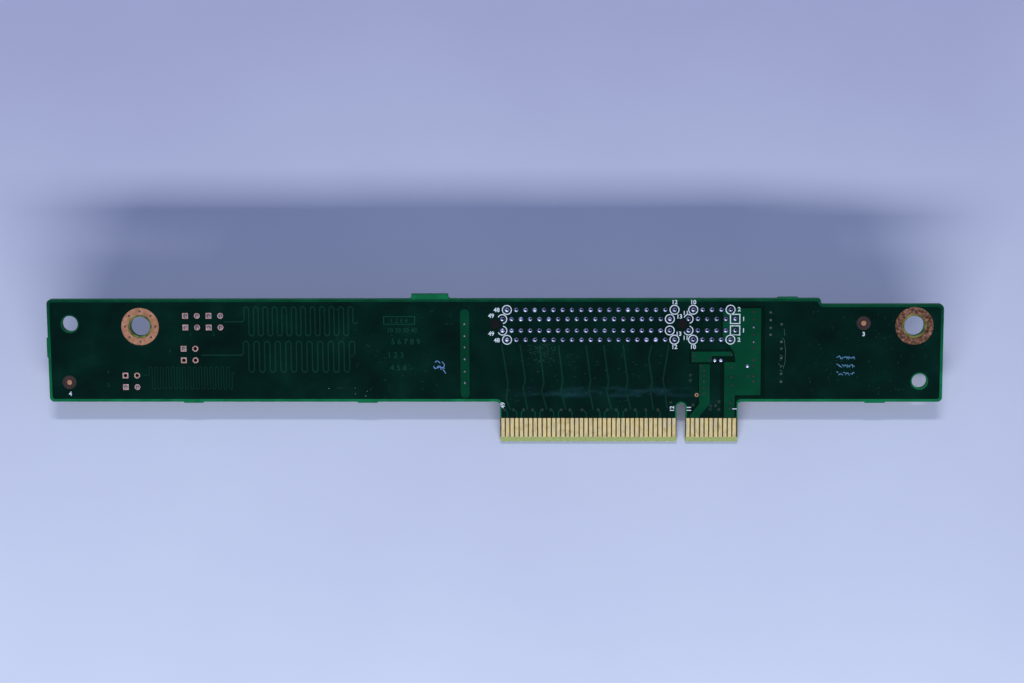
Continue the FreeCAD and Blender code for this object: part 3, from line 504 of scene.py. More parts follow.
def newTree(name, **sockets):
    tree = bpy.data.node_groups.new(name, "GeometryNodeTree")
    tree.interface.new_socket("Geometry", in_out="INPUT", socket_type="NodeSocketGeometry")
    for label, kind in sockets.items():
        tree.interface.new_socket(label, in_out="INPUT", socket_type="NodeSocket" + kind)
    tree.interface.new_socket("Geometry", in_out="OUTPUT", socket_type="NodeSocketGeometry")
    return tree, addNode(tree, "NodeGroupInput").outputs


def closeTree(tree, shape, material):
    real = addNode(tree, "GeometryNodeRealizeInstances", Geometry=shape)
    dressed = addNode(tree, "GeometryNodeSetMaterial", Geometry=real, Material=material)
    addNode(tree, "NodeGroupOutput", Geometry=dressed)
    return tree


def eitherWay(tree, given):
    # a turn about the card's z, anywhere from -Turn to Turn
    back = addNode(tree, "ShaderNodeMath", operation="MULTIPLY", i0=given["Turn"], i1=-1.0)
    turn = addNode(tree, "FunctionNodeRandomValue", data_type="FLOAT", Min=back, Max=given["Turn"],
                   Seed=given["Seed"])
    return addNode(tree, "ShaderNodeCombineXYZ", Z=turn)


def plantTree():
    # sets a shape on every point, each turned and sized a little differently
    tree, given = newTree("plantShapes", Shape="Object", Turn="Float", Spread="Float", Seed="Int",
                          Material="Material")
    shape = addNode(tree, "GeometryNodeObjectInfo", Object=given["Shape"]).outputs["Geometry"]
    small = addNode(tree, "ShaderNodeMath", operation="SUBTRACT", i0=1.0, i1=given["Spread"])
    large = addNode(tree, "ShaderNodeMath", operation="ADD", i0=1.0, i1=given["Spread"])
    scale = addNode(tree, "FunctionNodeRandomValue", data_type="FLOAT", Min=small, Max=large,
                    Seed=given["Seed"])
    stood = addNode(tree, "GeometryNodeInstanceOnPoints", Points=given["Geometry"], Instance=shape,
                    Rotation=eitherWay(tree, given), Scale=scale)
    return closeTree(tree, stood, given["Material"])


def ribbonTree():
    # a low rounded ridge along every line of edges, with its corners rounded
    tree, given = newTree("ribbonLines", Corner="Float", Width="Float", Rise="Float", Sides="Int",
                          Material="Material")
    line = addNode(tree, "GeometryNodeMeshToCurve", Mesh=given["Geometry"])
    upright = addNode(tree, "GeometryNodeSetCurveNormal", mode="Z_UP", Curve=line)
    soft = addNode(tree, "GeometryNodeFilletCurve", mode="POLY", Curve=upright, Count=4,
                   Radius=given["Corner"], Limit_Radius=True)
    disc = addNode(tree, "GeometryNodeCurvePrimitiveCircle", Resolution=given["Sides"], Radius=0.5)
    tall = addNode(tree, "ShaderNodeMath", operation="MULTIPLY", i0=given["Rise"], i1=2.0)
    squash = addNode(tree, "ShaderNodeCombineXYZ", X=given["Width"], Y=tall, Z=1.0)
    section = addNode(tree, "GeometryNodeTransform", Geometry=disc, Scale=squash)
    ridge = addNode(tree, "GeometryNodeCurveToMesh", Curve=soft, Profile_Curve=section, Fill_Caps=True)
    return closeTree(tree, ridge, given["Material"])


def snakeTree(ribbon):
    # a trace that runs to and fro: the point number gives its column and which end of the column it is at
    tree, given = newTree("snakeTrace", Points="Int", Column="Float", Low="Float", High="Float", Lead="Float",
                          Level="Float", Corner="Float", Width="Float", Rise="Float", Sides="Int",
                          Material="Material")
    line = addNode(tree, "GeometryNodeMeshLine", Count=given["Points"])
    found = {name.lower(): given[name] for name in ("Points", "Column", "Lead")}
    found["number"] = addNode(tree, "GeometryNodeInputIndex").outputs["Index"]
    for name, operation, *terms in (
        ("step", "SUBTRACT", "number", 1.0),
        ("pair", "DIVIDE", "step", 2.0),
        ("pair", "FLOOR", "pair"),
        ("across", "MULTIPLY", "pair", "column"),
        ("turn", "MODULO", "step", 4.0),
        ("turn", "SUBTRACT", "turn", 1.5),
        ("turn", "ABSOLUTE", "turn"),
        ("upper", "LESS_THAN", "turn", 1.0),
        # the first two points and the last are leads: they run level, and the first stands off to the left
        ("first", "LESS_THAN", "number", 0.5),
        ("early", "LESS_THAN", "number", 1.5),
        ("end", "SUBTRACT", "points", 1.5),
        ("late", "GREATER_THAN", "number", "end"),
        ("lead", "MULTIPLY", "lead", -1.0),
        ("level", "MAXIMUM", "early", "late"),
    ):
        links = {f"i{place}": found.get(term, term) for place, term in enumerate(terms)}
        found[name] = addNode(tree, "ShaderNodeMath", operation=operation, **links)
    up = addNode(tree, "ShaderNodeMix", data_type="FLOAT", Factor=found["upper"], A=given["Low"], B=given["High"])
    x = addNode(tree, "ShaderNodeMix", data_type="FLOAT", Factor=found["early"], A=found["across"], B=0.0)
    x = addNode(tree, "ShaderNodeMix", data_type="FLOAT", Factor=found["first"], A=x, B=found["lead"])
    y = addNode(tree, "ShaderNodeMix", data_type="FLOAT", Factor=found["level"], A=up, B=given["Level"])
    spot = addNode(tree, "ShaderNodeCombineXYZ", X=x, Y=y)
    laid = addNode(tree, "GeometryNodeSetPosition", Geometry=line, Position=spot)
    ridge = addNode(tree, "GeometryNodeGroup", node_tree=ribbon, Geometry=laid, Corner=given["Corner"],
                    Width=given["Width"], Rise=given["Rise"], Sides=given["Sides"], Material=given["Material"])
    return closeTree(tree, ridge, given["Material"])


def strewTree():
    # short fine strokes, strewn over a patch and turned every way
    tree, given = newTree("strewnScuffs", Shape="Object", Width="Float", Height="Float", Density="Float",
                          Turn="Float", Shortest="Float", Longest="Float", Seed="Int", Material="Material")
    patch = addNode(tree, "GeometryNodeMeshGrid", Size_X=given["Width"], Size_Y=given["Height"], Vertices_X=2,
                    Vertices_Y=2)
    strewn = addNode(tree, "GeometryNodeDistributePointsOnFaces", Mesh=patch, Density=given["Density"],
                     Seed=given["Seed"])
    length = addNode(tree, "FunctionNodeRandomValue", data_type="FLOAT", Min=given["Shortest"],
                     Max=given["Longest"], Seed=given["Seed"])
    stretch = addNode(tree, "ShaderNodeCombineXYZ", X=length, Y=1.0, Z=1.0)
    shape = addNode(tree, "GeometryNodeObjectInfo", Object=given["Shape"]).outputs["Geometry"]
    laid = addNode(tree, "GeometryNodeInstanceOnPoints", Points=strewn, Instance=shape,
                   Rotation=eitherWay(tree, given), Scale=stretch)
    return closeTree(tree, laid, given["Material"])


planting, ribbons, strewing = plantTree(), ribbonTree(), strewTree()
snakes = snakeTree(ribbons)


def grown(tree, points, edges, **values):
    # runs a node tree on loose points or lines and gives back the plain mesh
    seedMesh = bpy.data.meshes.new("seed")
    seedMesh.from_pydata(points, edges, [])
    carrier = bpy.data.objects.new("seed", seedMesh)
    modifier = carrier.modifiers.new("nodes", "NODES")
    modifier.node_group = tree
    for socket in tree.interface.items_tree:
        if socket.item_type == "SOCKET" and socket.in_out == "INPUT" and socket.name in values:
            modifier[socket.identifier] = values[socket.name]
    return meshOf(carrier)


def planted(name, points, shapeMesh, look, turn=0.0, spread=0.0, seed=1, level=face, flip=False):
    shape = bpy.data.objects.new("shape", shapeMesh)
    mesh = grown(planting, [(u, v, 0) for u, v in points], [], Shape=shape, Turn=turn, Spread=spread, Seed=seed,
                 Material=finish[look])
    bpy.data.objects.remove(shape)
    if flip:
        mesh.transform(Matrix.Diagonal((1, 1, -1, 1)))
        mesh.flip_normals()
    mesh.transform(Matrix.Translation((0, 0, level)))
    return finishPiece(name, mesh, look, True, False)


def drawn(name, lines, width, rise, corner, look, level=face, sides=10):
    points, edges = [], []
    for line in lines:
        edges += [(len(points) + i, len(points) + i + 1) for i in range(len(line) - 1)]
        points += [(u, v, 0) for u, v in line]
    mesh = grown(ribbons, points, edges, Corner=corner, Width=width, Rise=rise, Sides=sides,
                 Material=finish[look])
    mesh.transform(Matrix.Translation((0, 0, level)))
    return finishPiece(name, mesh, look, True)


# where the test pads stand: each group's upper left pad, its columns, and which pads are open holes
testPads = {
    "grid": 2.54,
    "groups": [(-107.08, 2.03, 4, ()), (-107.6, -5.17, 2, ((1, 0), (0, 1), (1, 1))),
               (-120.43, -11.06, 2, ((0, 0), (1, 0)))],
    "half": 0.62,  # of a square pad, in the even columns
    "across": 1.25,
    "rimHigh": 0.05,
    "sunk": 0.04,
    "fill": [(0, 0), (0.44, 0), (0.42, 0.08), (0.33, 0.16), (0.18, 0.2), (0, 0.21)],
    "pinhole": [(0, 0), (0.12, 0), (0.1, 0.03), (0, 0.04)],
    "pinholeAt": (-0.12, -0.14, 0.19),
    "barrel": [(0, -1.2), (0.39, -1.2), (0.39, 0.0), (0.34, 0.0), (0.34, -1.0), (0, -1.0)],
}
openPads, squarePads, roundPads = [], [], []
for left, top, columns, holes in testPads["groups"]:
    for column in range(columns):
        for row in range(2):
            kind = openPads if (column, row) in holes else roundPads if column % 2 else squarePads
            kind.append((left + testPads["grid"] * column, top - testPads["grid"] * row))

# mask over the inner planes, on both faces
films = {
    "border": 0.6,  # no inner copper this close to the sawn edge
    "tongueBorder": 0.28,
    "corner": 0.6,
    "innerCorner": 1.0,
    "cornerSteps": 24,
    "toolHoles": [4.05, 3.75],  # how wide each kind of hole is in the film
    "screwHoles": 5.6,
    "pegHoles": 2.5,
    "fiducials": 3.0,
    "openPads": 0.85,
    "thin": 0.008,
    "collar": [5.25, 4.32],
    "clearing": 2.98,
    "gaps": [
        [(8.45, -3.6), (8.45, 4.0), (17.9, 4.0), (17.9, -15.9), (12.0, -15.9), (11.9, -20.1), (8.4, -20.1),
         (8.4, -8.6), (11.3, -8.6), (11.3, -6.0), (9.5, -4.2), (8.45, -4.2)],
        [(1.7, -5.4), (11.4, -5.4), (11.4, -8.6), (6.2, -8.6), (6.2, -16.6), (3.2, -19.9), (1.6, -19.9),
         (1.6, -18.9), (3.6, -16.5), (3.6, -8.6), (1.7, -8.6)],
    ],
}


def fieldLoops():
    slim, outer, inner = films["tongueBorder"], films["corner"], films["innerCorner"]
    left, right = card["left"] + films["border"], card["right"] - films["border"]
    top, bottom = card["top"] - films["border"], card["bottom"] + films["border"]
    stepTop = top - card["stepDrop"]
    tongueLeft, tongueRight = card["tongueLeft"] + slim, card["tongueRight"] - slim
    end = card["maskEnd"]
    notch = card["notchHalf"] + slim
    steps = films["cornerSteps"]
    outline = ring(left + outer, top - outer, 2 * outer, 90, 90, steps)
    outline += ring(left + outer, bottom + outer, 2 * outer, 180, 90, steps)
    outline += ring(tongueLeft - inner, bottom - inner, 2 * inner, 90, -90, steps)
    outline += [(tongueLeft, end), (-notch, end)]
    outline += ring(0, card["notchTop"] - card["notchHalf"], 2 * notch, 180, -180, 40)
    outline += [(notch, end), (tongueRight, end)]
    outline += ring(tongueRight + inner, bottom - inner, 2 * inner, 180, -90, steps)
    outline += ring(right - outer, bottom + outer, 2 * outer, 270, 90, steps)
    outline += ring(right - outer, stepTop - outer, 2 * outer, 0, 90, steps)
    outline += [(card["stepFrom"] + 0.4, stepTop), (card["stepFrom"] - 0.2, stepTop + 0.3)]
    outline += [(card["stepFrom"] - 0.7, top)]
    holes = [ring(*spot, across) for spot, across in zip(card["toolHoles"], films["toolHoles"])]
    holes += [ring(*spot, films[kind]) for kind in ("screwHoles", "pegHoles", "fiducials") for spot in card[kind]]
    holes += [ring(*spot, films["openPads"], 0, 360, 12) for spot in openPads]
    return [outline] + holes


thin = films["thin"]
finishPiece("inner_plane_solder_side", flatSheet(fieldLoops(), face, face + thin), "plane")
finishPiece("inner_plane_component_side", flatSheet(fieldLoops(), -thin, 0), "plane")
for number, loop in enumerate(films["gaps"], 1):
    finishPiece(f"plane_gap_{number}", flatSheet([loop], face + thin, face + 2 * thin), "gap")
collars = [ring(*spot, across) for spot in card["screwHoles"] for across in films["collar"]]
clearings = [ring(*spot, films["clearing"]) for spot in card["fiducials"]]
for side, low in (("solder", face), ("component", -thin)):
    finishPiece(f"hole_collars_{side}_side", flatSheet(collars, low, low + thin), "collar")
    finishPiece(f"fiducial_clearings_{side}_side", flatSheet(clearings, low, low + thin), "clear")
print("mask films are laid")

# traces under the mask: ridges as wide as the copper, rising a little more than it does so that they show
traces = {
    "rise": 0.03,
    "width": 0.38,
    "corner": 0.8,
    "stubWidth": 0.24,
    "stubCorner": 0.25,
    "underWidth": 0.25,
    "long": [
        [(-38.66, -4.3), (-37.36, -12.7), (-37.75, -16.3), (-36.85, -18.6)],
        [(-34.7, -4.3), (-33.6, -12.0), (-34.1, -13.8), (-33.1, -18.6)],
        [(-30.5, -4.4), (-29.6, -12.6), (-30.1, -14.4), (-28.95, -18.6)],
        [(-26.4, -4.4), (-25.5, -12.4), (-25.9, -14.2), (-24.9, -18.6)],
        [(-20.5, -4.4), (-19.5, -12.3), (-19.9, -14.0), (-18.9, -18.6)],
        [(-16.7, -4.4), (-15.6, -12.5), (-16.1, -14.3), (-15.0, -18.6)],
        [(-12.5, -4.4), (-11.5, -12.4), (-11.9, -14.2), (-10.85, -18.6)],
        [(-6.4, -4.4), (-7.0, -7.4), (-6.2, -12.6), (-6.6, -14.2), (-6.0, -18.6)],
        [(-2.7, -4.4), (-3.9, -12.0), (-3.4, -14.8), (-3.0, -18.2)],
    ],
    "fingerVias": [-38.1, -36.2, -34.0, -32.1, -30.0, -28.1, -25.9, -24.0, -21.4, -17.9, -15.9, -14.0, -11.9,
                   -9.9, -7.6, -5.0],
    "leftward": [-34.0, -30.0, -25.9, -15.9, -11.9],  # these feed the finger on their left
    "fingerViasAt": -18.58,
    "under": [-36.2, -33.2, -29.2, -26.2, -22.2, -19.2, -15.2, -12.2, -8.2, -5.2],
}
drawn("slot_traces", traces["long"], traces["width"], traces["rise"], traces["corner"], "trace")
stubs = []
for u in traces["fingerVias"]:
    finger = math.ceil(u - 0.5) + (-0.5 if u in traces["leftward"] else 0.5)
    stubs.append([(u, traces["fingerViasAt"]), (u + 0.4 * (finger - u), -18.75), (finger, -19.2), (finger, -20.6)])
drawn("finger_stubs", stubs, traces["stubWidth"], traces["rise"], traces["stubCorner"], "stub")

snakeShapes = {
    "upper_snake": {"at": -94.3, "Points": 50, "Column": 1.025, "Low": -2.32, "High": 3.99, "Lead": 4.4,
                    "Level": 0.76, "Width": 0.36, "Corner": 0.5},
    "lower_snake": {"at": -94.6, "Points": 45, "Column": 1.15, "Low": -10.28, "High": -3.55, "Lead": 9.2,
                    "Level": -6.55, "Width": 0.36, "Corner": 0.55},
    "fine_snake": {"at": -115.2, "Points": 64, "Column": 0.6, "Low": -14.02, "High": -9.17, "Lead": 1.3,
                   "Level": -10.95, "Width": 0.2, "Corner": 0.25},
}
for name, sizes in snakeShapes.items():
    mesh = grown(snakes, [(0, 0, 0)], [], Rise=traces["rise"], Sides=8, Material=finish["trace"], **sizes)
    mesh.transform(Matrix.Translation((sizes["at"], 0, face)))
    finishPiece(name, mesh, "trace", True)
underTraces = [[(u, -4.0), (u, -6.5 - 0.1 * abs(u + 20)), (u + 0.7, -9.0 - 0.1 * abs(u + 20)), (u + 0.7, -20.5)]
               for u in traces["under"]]
drawn("slot_traces_component_side", underTraces, traces["underWidth"], traces["rise"], traces["corner"],
      "trace", level=0)
print("traces are drawn")

# solder joints: a dome on every pin, with a painted dark reflection, a near-black dot, on its upper right
joint = {
    "profile": [(0, 0), (0.57, 0), (0.54, 0.16), (0.43, 0.33), (0.22, 0.44), (0, 0.47)],
    "steps": 12,
    "spread": 0.05,
    "paintedReflection": [(0, -0.1), (0.24, -0.1), (0.27, 0.0), (0.15, 0.045), (0, 0.055)],
    "paintedReflectionAt": (0.09, 0.11, 0.45),
    "paintedReflectionLean": 15,
    "innerRow": 1.25,
    "outerRow": 3.25,
}
pins = []
for side in (-1, 1):
    inner, outer = joint["innerRow"] * side, joint["outerRow"] * side
    pins += [(1.5 + 2 * i, inner) for i in range(6)] + [(-2.5 - 2 * i, inner) for i in range(19)]
    pins += [(2.5 + 2 * i, outer) for i in range(5)] + [(-1.5 - 2 * i, outer) for i in range(19)]
innerPins = [(u, v) for u, v in pins if abs(v) == joint["innerRow"]]
outerPins = [(u, v) for u, v in pins if abs(v) == joint["outerRow"]]
for name, places, node in (("joints_inner", innerPins, "solder_joints_inner"),
                           ("joints_outer", outerPins, "solder_joints_outer")):
    domes = planted(name, places, turned(joint["profile"], joint["steps"]), "solder", math.pi,
                    joint["spread"], 3)
    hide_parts(node)
# painted reflection: a small dark dot near each dome's top, on its upper right
paintedReflection = turned(joint["paintedReflection"], 10)
paintedReflection.transform(Matrix.Translation(joint["paintedReflectionAt"])
                 @ Matrix.Rotation(math.radians(joint["paintedReflectionLean"]), 4, Vector((-0.77, 0.64, 0))))
planted("joint_hollows", pins, paintedReflection, "paintedDark", 0.12, 0.1, 5)
print("solder joints are set:", len(pins))

# vias, each row given as u and then the heights of its vias
via = {
    "rows": [
        (15.5, [2.82, 1.15, -2.13, -5.17, -7.66, -8.97, -11.22, -12.36]),
        (14.24, [-11.22]),
        (10.8, [-9.34, -11.42, -13.19]),
        (10.57, [-17.1, -18.26]),
        (2.63, [-6.63, -7.66]),
        (6.05, [-7.55]),
        (10.72, [-6.5]),
        (4.9, [-9.93, -11.05, -12.36, -13.85, -14.99]),
        (4.21, [-8.97]),
        (1.99, [-10.96, -12.12]),
        (2.57, [-17.5]),
        (-2.22, [-17.0]),
    ],
    "dustyRows": [(19.1, [2.65, 1.0, -0.67, -2.17]), (21.45, [0.11, -3.72, -5.18, -7.25, -9.04, -10.68, -12.41])],
    "brightRows": [(15.5, [-0.58, -3.78]), (-46.7, [0.19, -2.41, -4.88, -7.52, -10.22, -12.68])],
    "nearNotch": [(6.4, -17.73), (7.44, -17.65), (8.16, -16.79), (8.18, -18.48), (6.28, -18.44)],
    "screwCircle": 3.3,
    # painted shadow: this row's vias get wide dark rings
    "wideRow": 10.8,  # this row's lands are wide
    "wide": 1.0,
    "proud": 0.05,
    "land": [(0.2, -0.05), (0.4, -0.05), (0.37, 0.016), (0.2, 0.016), (0.2, -0.05)],
    "plug": [(0, -0.05), (0.23, -0.05), (0.23, 0.012), (0, 0.0)],
    "screwPlug": [(0, 0), (0.24, 0), (0.24, 0.012), (0.2, 0.012), (0.12, 0.004), (0, 0.002)],
}
vias, dustyVias, brightVias = [[(u, v) for u, heights in via[rows] for v in heights]
                               for rows in ("rows", "dustyRows", "brightRows")]
vias += [(u, traces["fingerViasAt"]) for u in traces["fingerVias"]] + via["nearNotch"]
screwVias = [(u + via["screwCircle"] * math.cos(math.radians(45 * i)),
              v + via["screwCircle"] * math.sin(math.radians(45 * i)))
             for u, v in card["screwHoles"] for i in range(8)]
landMesh, plugMesh, screwPlugMesh = turned(via["land"], 12), turned(via["plug"], 12), turned(via["screwPlug"], 14)
for flip, level, side in ((False, face, "solder"), (True, 0, "component")):
    rise = -via["proud"] if flip else via["proud"]
    planted(f"via_lands_{side}_side", vias + dustyVias + brightVias, landMesh, "viaRim",
            level=level + rise, flip=flip)
    for name, places, look, slotName in (("via_plugs", vias, "viaHole", "laminate"),
                                             ("via_plugs_dusty", dustyVias, "dust", "laminate"),
                                             ("via_tips", brightVias, "dull", "solder")):
        planted(f"{name}_{side}_side", places, plugMesh, look, level=level + rise * 1.1, flip=flip)
    # painted shade: each via round a screw hole is a flat near-black cap for its shaded hole
    planted(f"screw_vias_{side}_side", screwVias, screwPlugMesh, "barrel", level=level + rise,
            flip=flip)
# painted shadow: a dark mask ring round each via of this row
viaShadeRings = [ring(u, v, via["wide"], 0, 360, 20) for u, heights in via["rows"] if u == via["wideRow"]
             for v in heights]
finishPiece("wide_via_lands", flatSheet(viaShadeRings, face, face + 0.048), "gap")

# stray solder, and one bare ring pad
strays = {
    "dots": [(14.22, -9.04), (7.19, -7.79), (8.48, -7.79)],
    "dot": [(0, 0), (0.38, 0), (0.35, 0.07), (0.25, 0.11), (0, 0.13)],
    "specks": [(-70.5, -13.8), (-67.9, -14.5), (-70.5, -15.1), (-68.2, -15.6), (-76.2, -13.9)],
    "speck": [(0, 0), (0.09, 0), (0.07, 0.04), (0, 0.05)],
    "ringPad": (3.36, -15.36),
    "ringPadAcross": [0.82, 0.42],
}
planted("tinned_dots", strays["dots"], turned(strays["dot"], 14), "solder", level=face + 0.04)
planted("loose_specks", strays["specks"], turned(strays["speck"], 8), "tin", spread=0.3)
ringPad = [ring(*strays["ringPad"], across) for across in strays["ringPadAcross"]]
finishPiece("bare_ring_pad", flatSheet(ringPad, face, face + 0.03), "land")
print("vias are set:", len(vias) + len(dustyVias) + len(brightVias) + len(screwVias))

# test pads: tinned rims, a dull fill with a pinhole in each, its shade painted as a dark dot, and open drilled
# barrels in painted shade
half = testPads["half"]
loops = [box(u - half, v - half, u + half, v + half) for u, v in squarePads]
loops += [ring(u, v, testPads["across"]) for u, v in roundPads]
rims = finishPiece("test_pad_rims", flatSheet(loops, face, face + testPads["rimHigh"]), "rim")
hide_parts("test_pads_filled")
filled = squarePads + roundPads
planted("test_pad_fills", filled, turned(testPads["fill"], 16), "dull", math.pi, 0.08, 9,
        level=face + testPads["sunk"])
# painted shade: each pinhole is a small dark dot raised on the fill, not a hole
pinhole = turned(testPads["pinhole"], 10)
pinhole.transform(Matrix.Translation(testPads["pinholeAt"]))
planted("test_pad_pinholes", filled, pinhole, "paintedDark", 0.3, 0.15, 4,
        level=face + testPads["sunk"])
# painted shade: each open hole is a near-black cup with a floor
planted("test_pad_barrels", openPads, turned(testPads["barrel"], 16), "barrel", level=face)
print("test pads are set")

# white legend: rings and squares round the numbered pins, and plain numbers
legend = {
    "line": 0.2,
    "ring": 2.13,
    "square": 2.2,
    "high": 0.062,
    "digits": 0.95,
    "ringed": (48, 12, 13, 10, 2),
    "cutRings": {49: 0, 11: 1},  # these give way to a peg hole
    "cutAway": 62,  # degrees either side of the line to the hole
    "labels": [
        ("48", -39.7, 3.2, 0), ("49", -40.9, 1.95, 0), ("49", -40.9, -1.95, 0), ("48", -39.7, -3.4, 0),
        ("12", -1.5, 4.85, 0), ("12", -1.5, -4.85, 0), ("10", 2.5, 4.85, 0), ("10", 2.5, -4.85, 0),
        ("13", -0.45, 1.75, 0), ("13", -0.6, -2.0, 0), ("11", 0.9, 2.5, 0), ("11", 0.9, -2.9, 0),
        ("2", 12.35, 3.3, 0), ("1", 13.3, 1.2, 0), ("1", 13.3, -1.3, 0), ("2", 12.35, -3.3, 0),
        ("49", -38.5, -17.6, 90), ("12", -1.9, -18.4, 90), ("11", 1.75, -18.4, 90), ("1", 11.6, -18.4, 90),
        ("4", -132.6, -15.1, 0), ("3", 39.0, -2.1, 0),
    ],
}


def pinPlace(number):
    along = 12.5 - number if number <= 11 else 10.5 - number
    return along, joint["innerRow"] if number % 2 else joint["outerRow"]


def labelMesh(word, u, v, high, turn=0, backward=False, bold=0.03):
    text = bpy.data.curves.new("label", "FONT")
    text.body = word
    text.size = high * 1.35
    text.align_x, text.align_y = "CENTER", "CENTER"
    text.resolution_u = 3
    text.offset = bold * high
    text.extrude = legend["high"] / 2
    mesh = meshOf(bpy.data.objects.new("label", text))
    mesh.transform(Matrix.Rotation(math.radians(turn), 4, "Z"))
    if backward:
        mesh.transform(Matrix.Rotation(math.pi, 4, "Y"))
    level = -legend["high"] / 2 if backward else face + legend["high"] / 2
    mesh.transform(Matrix.Translation((u, v, level)))
    return mesh


inside = legend["ring"] - 2 * legend["line"]
loops = []
for number in legend["ringed"]:
    for side in (-1, 1):
        u, v = pinPlace(number)
        loops += [ring(u, v * side, legend["ring"]), ring(u, v * side, inside)]
for side in (-1, 1):
    for number, peg in legend["cutRings"].items():
        u, v = pinPlace(number)
        start = math.degrees(math.atan2(-v * side, card["pegHoles"][peg][0] - u)) + legend["cutAway"]
        sweep = 360 - 2 * legend["cutAway"]
        loops.append(ring(u, v * side, legend["ring"], start, sweep)
                     + ring(u, v * side, inside, start, sweep)[::-1])
    u, v = pinPlace(1)
    v *= side
    for reach in (legend["square"] / 2, legend["square"] / 2 - legend["line"]):
        loops.append(box(u - reach, v - reach, u + reach, v + reach))
finishPiece("legend_rings", flatSheet(loops, face, face + legend["high"]), "ink")
labels = [labelMesh(word, u, v, legend["digits"], turn) for word, u, v, turn in legend["labels"]]
finishPiece("legend_numbers", joined(labels), "ink")

# numbers left in the copper, under the mask, beside the test pads and in a framed field
etched = {
    "numbers": [
        ("1", -106.0, -2.0, 0.8), ("2", -101.0, -2.0, 0.8), ("3", -110.6, -5.6, 0.8), ("4", -124.2, -10.3, 0.8),
        ("5", -124.2, -13.2, 0.8),
        ("1 2 3 4", -60.8, 0.9, 1.0), ("10 20 30 40", -60.2, -1.2, 1.0), ("5 6 7 8 9", -59.4, -3.7, 1.3),
        ("1 2 3", -61.6, -6.6, 1.3), ("4 5 6", -61.0, -9.4, 1.3),
    ],
    "frame": [box(-64.2, 0.1, -57.3, 1.9), box(-64.0, 0.25, -57.5, 1.75)],
    "high": 0.06,
}
inCopper = [labelMesh(word, u, v, high, bold=0.0) for word, u, v, high in etched["numbers"]]
inCopper.append(flatSheet(etched["frame"], face, face + etched["high"]))
finishPiece("etched_numbers", joined(inCopper), "etch")

# the legend on the component face: an outline round the slot and the parts, and a number for each
under = {
    "outlines": [(-42.1, -4.35, 15.1, 4.35), (15.9, -3.2, 18.7, 3.75), (16.1, -13.5, 20.9, -2.8),
                 (6.4, -14.6, 11.4, -12.2)],
    "endOutline": [(-46.0, 4.0), (-46.0, -4.0), (-44.5, -4.0), (-44.5, 4.0), (-46.0, 4.0)],
    "line": 0.15,
    "rise": 0.03,
    "corner": 0.2,
    "labels": [("1", 15.9, -5.2), ("49", -43.2, -5.2), ("50", -43.2, 5.0), ("2", 12.6, -5.4)],
    "endLabels": [("3", 41.2, 0.29), ("4", -130.3, -12.56)],
}
outlines = [box(*sides) + box(*sides)[:1] for sides in under["outlines"]] + [under["endOutline"]]
drawn("legend_outlines", outlines, under["line"], under["rise"], under["corner"], "ink",
      level=0, sides=6)
underLabels = under["labels"] + [(str(11 + i), 20.0, 2.7 - 1.62 * i) for i in range(4)]
underLabels += [(str(21 + i), 22.0, -4.45 - 3.55 * i) for i in range(3)]
underLabels += [(str(31 + i), 7.2 + 1.7 * i, -15.6) for i in range(3)]
printed = [labelMesh(word, u, v, legend["digits"], 0, True) for word, u, v in underLabels + under["endLabels"]]
finishPiece("legend_numbers_component_side", joined(printed), "ink")
print("legend is printed")

# marks of use: a pen scribble, three rows of a smudged stamp, flux residue and scuffs
marks = {
    "pen": [
        [(-53.4, -9.0), (-52.9, -10.4), (-52.1, -7.4), (-51.8, -9.8)],
        [(-51.6, -8.0), (-51.0, -8.8), (-51.5, -9.6), (-50.8, -10.6)],
        [(-53.2, -9.6), (-52.0, -9.2), (-51.0, -9.5)],
        [(-53.1, -8.2), (-52.6, -7.7), (-52.0, -8.4)],
    ],
    "penWidth": 0.26,
    "stampRows": [(-7.2, 9), (-9.0, 10), (-10.7, 8)],  # the height of each row and how many strokes it has
    "stampFrom": 33.3,
    "stampWide": 3.9,
    "stampWidth": 0.23,
    "residue": [
        [(22.0, -0.9), (22.15, -2.4)],
        [(21.6, -2.9), (22.05, -3.3), (22.35, -5.5), (22.3, -8.0), (21.9, -9.6)],
        [(21.1, -6.6), (21.9, -6.9), (21.2, -7.9)],
        [(20.9, -8.4), (21.4, -9.3), (22.0, -9.0)],
        [(21.1, -9.9), (21.8, -10.2)],
    ],
    "residueWidth": 0.1,
}
drawn("pen_mark", marks["pen"], marks["penWidth"], 0.012, 0.4, "pen")
smudges = []
for row, (low, count) in enumerate(marks["stampRows"]):
    for i in range(count):
        u = marks["stampFrom"] + marks["stampWide"] * i / count
        jog = 0.32 * math.sin(1.7 * i + row)
        smudges.append([(u, low + 0.35 * math.sin(2.3 * i + row)), (u + 0.22, low + 0.15 + jog),
                        (u + 0.42, low - 0.1 + 0.3 * math.cos(1.9 * i))])
drawn("smudged_stamp", smudges, marks["stampWidth"], 0.01, 0.1, "stamp")
drawn("flux_residue", marks["residue"], marks["residueWidth"], 0.012, 0.2, "scuff",
      level=face + thin, sides=6)

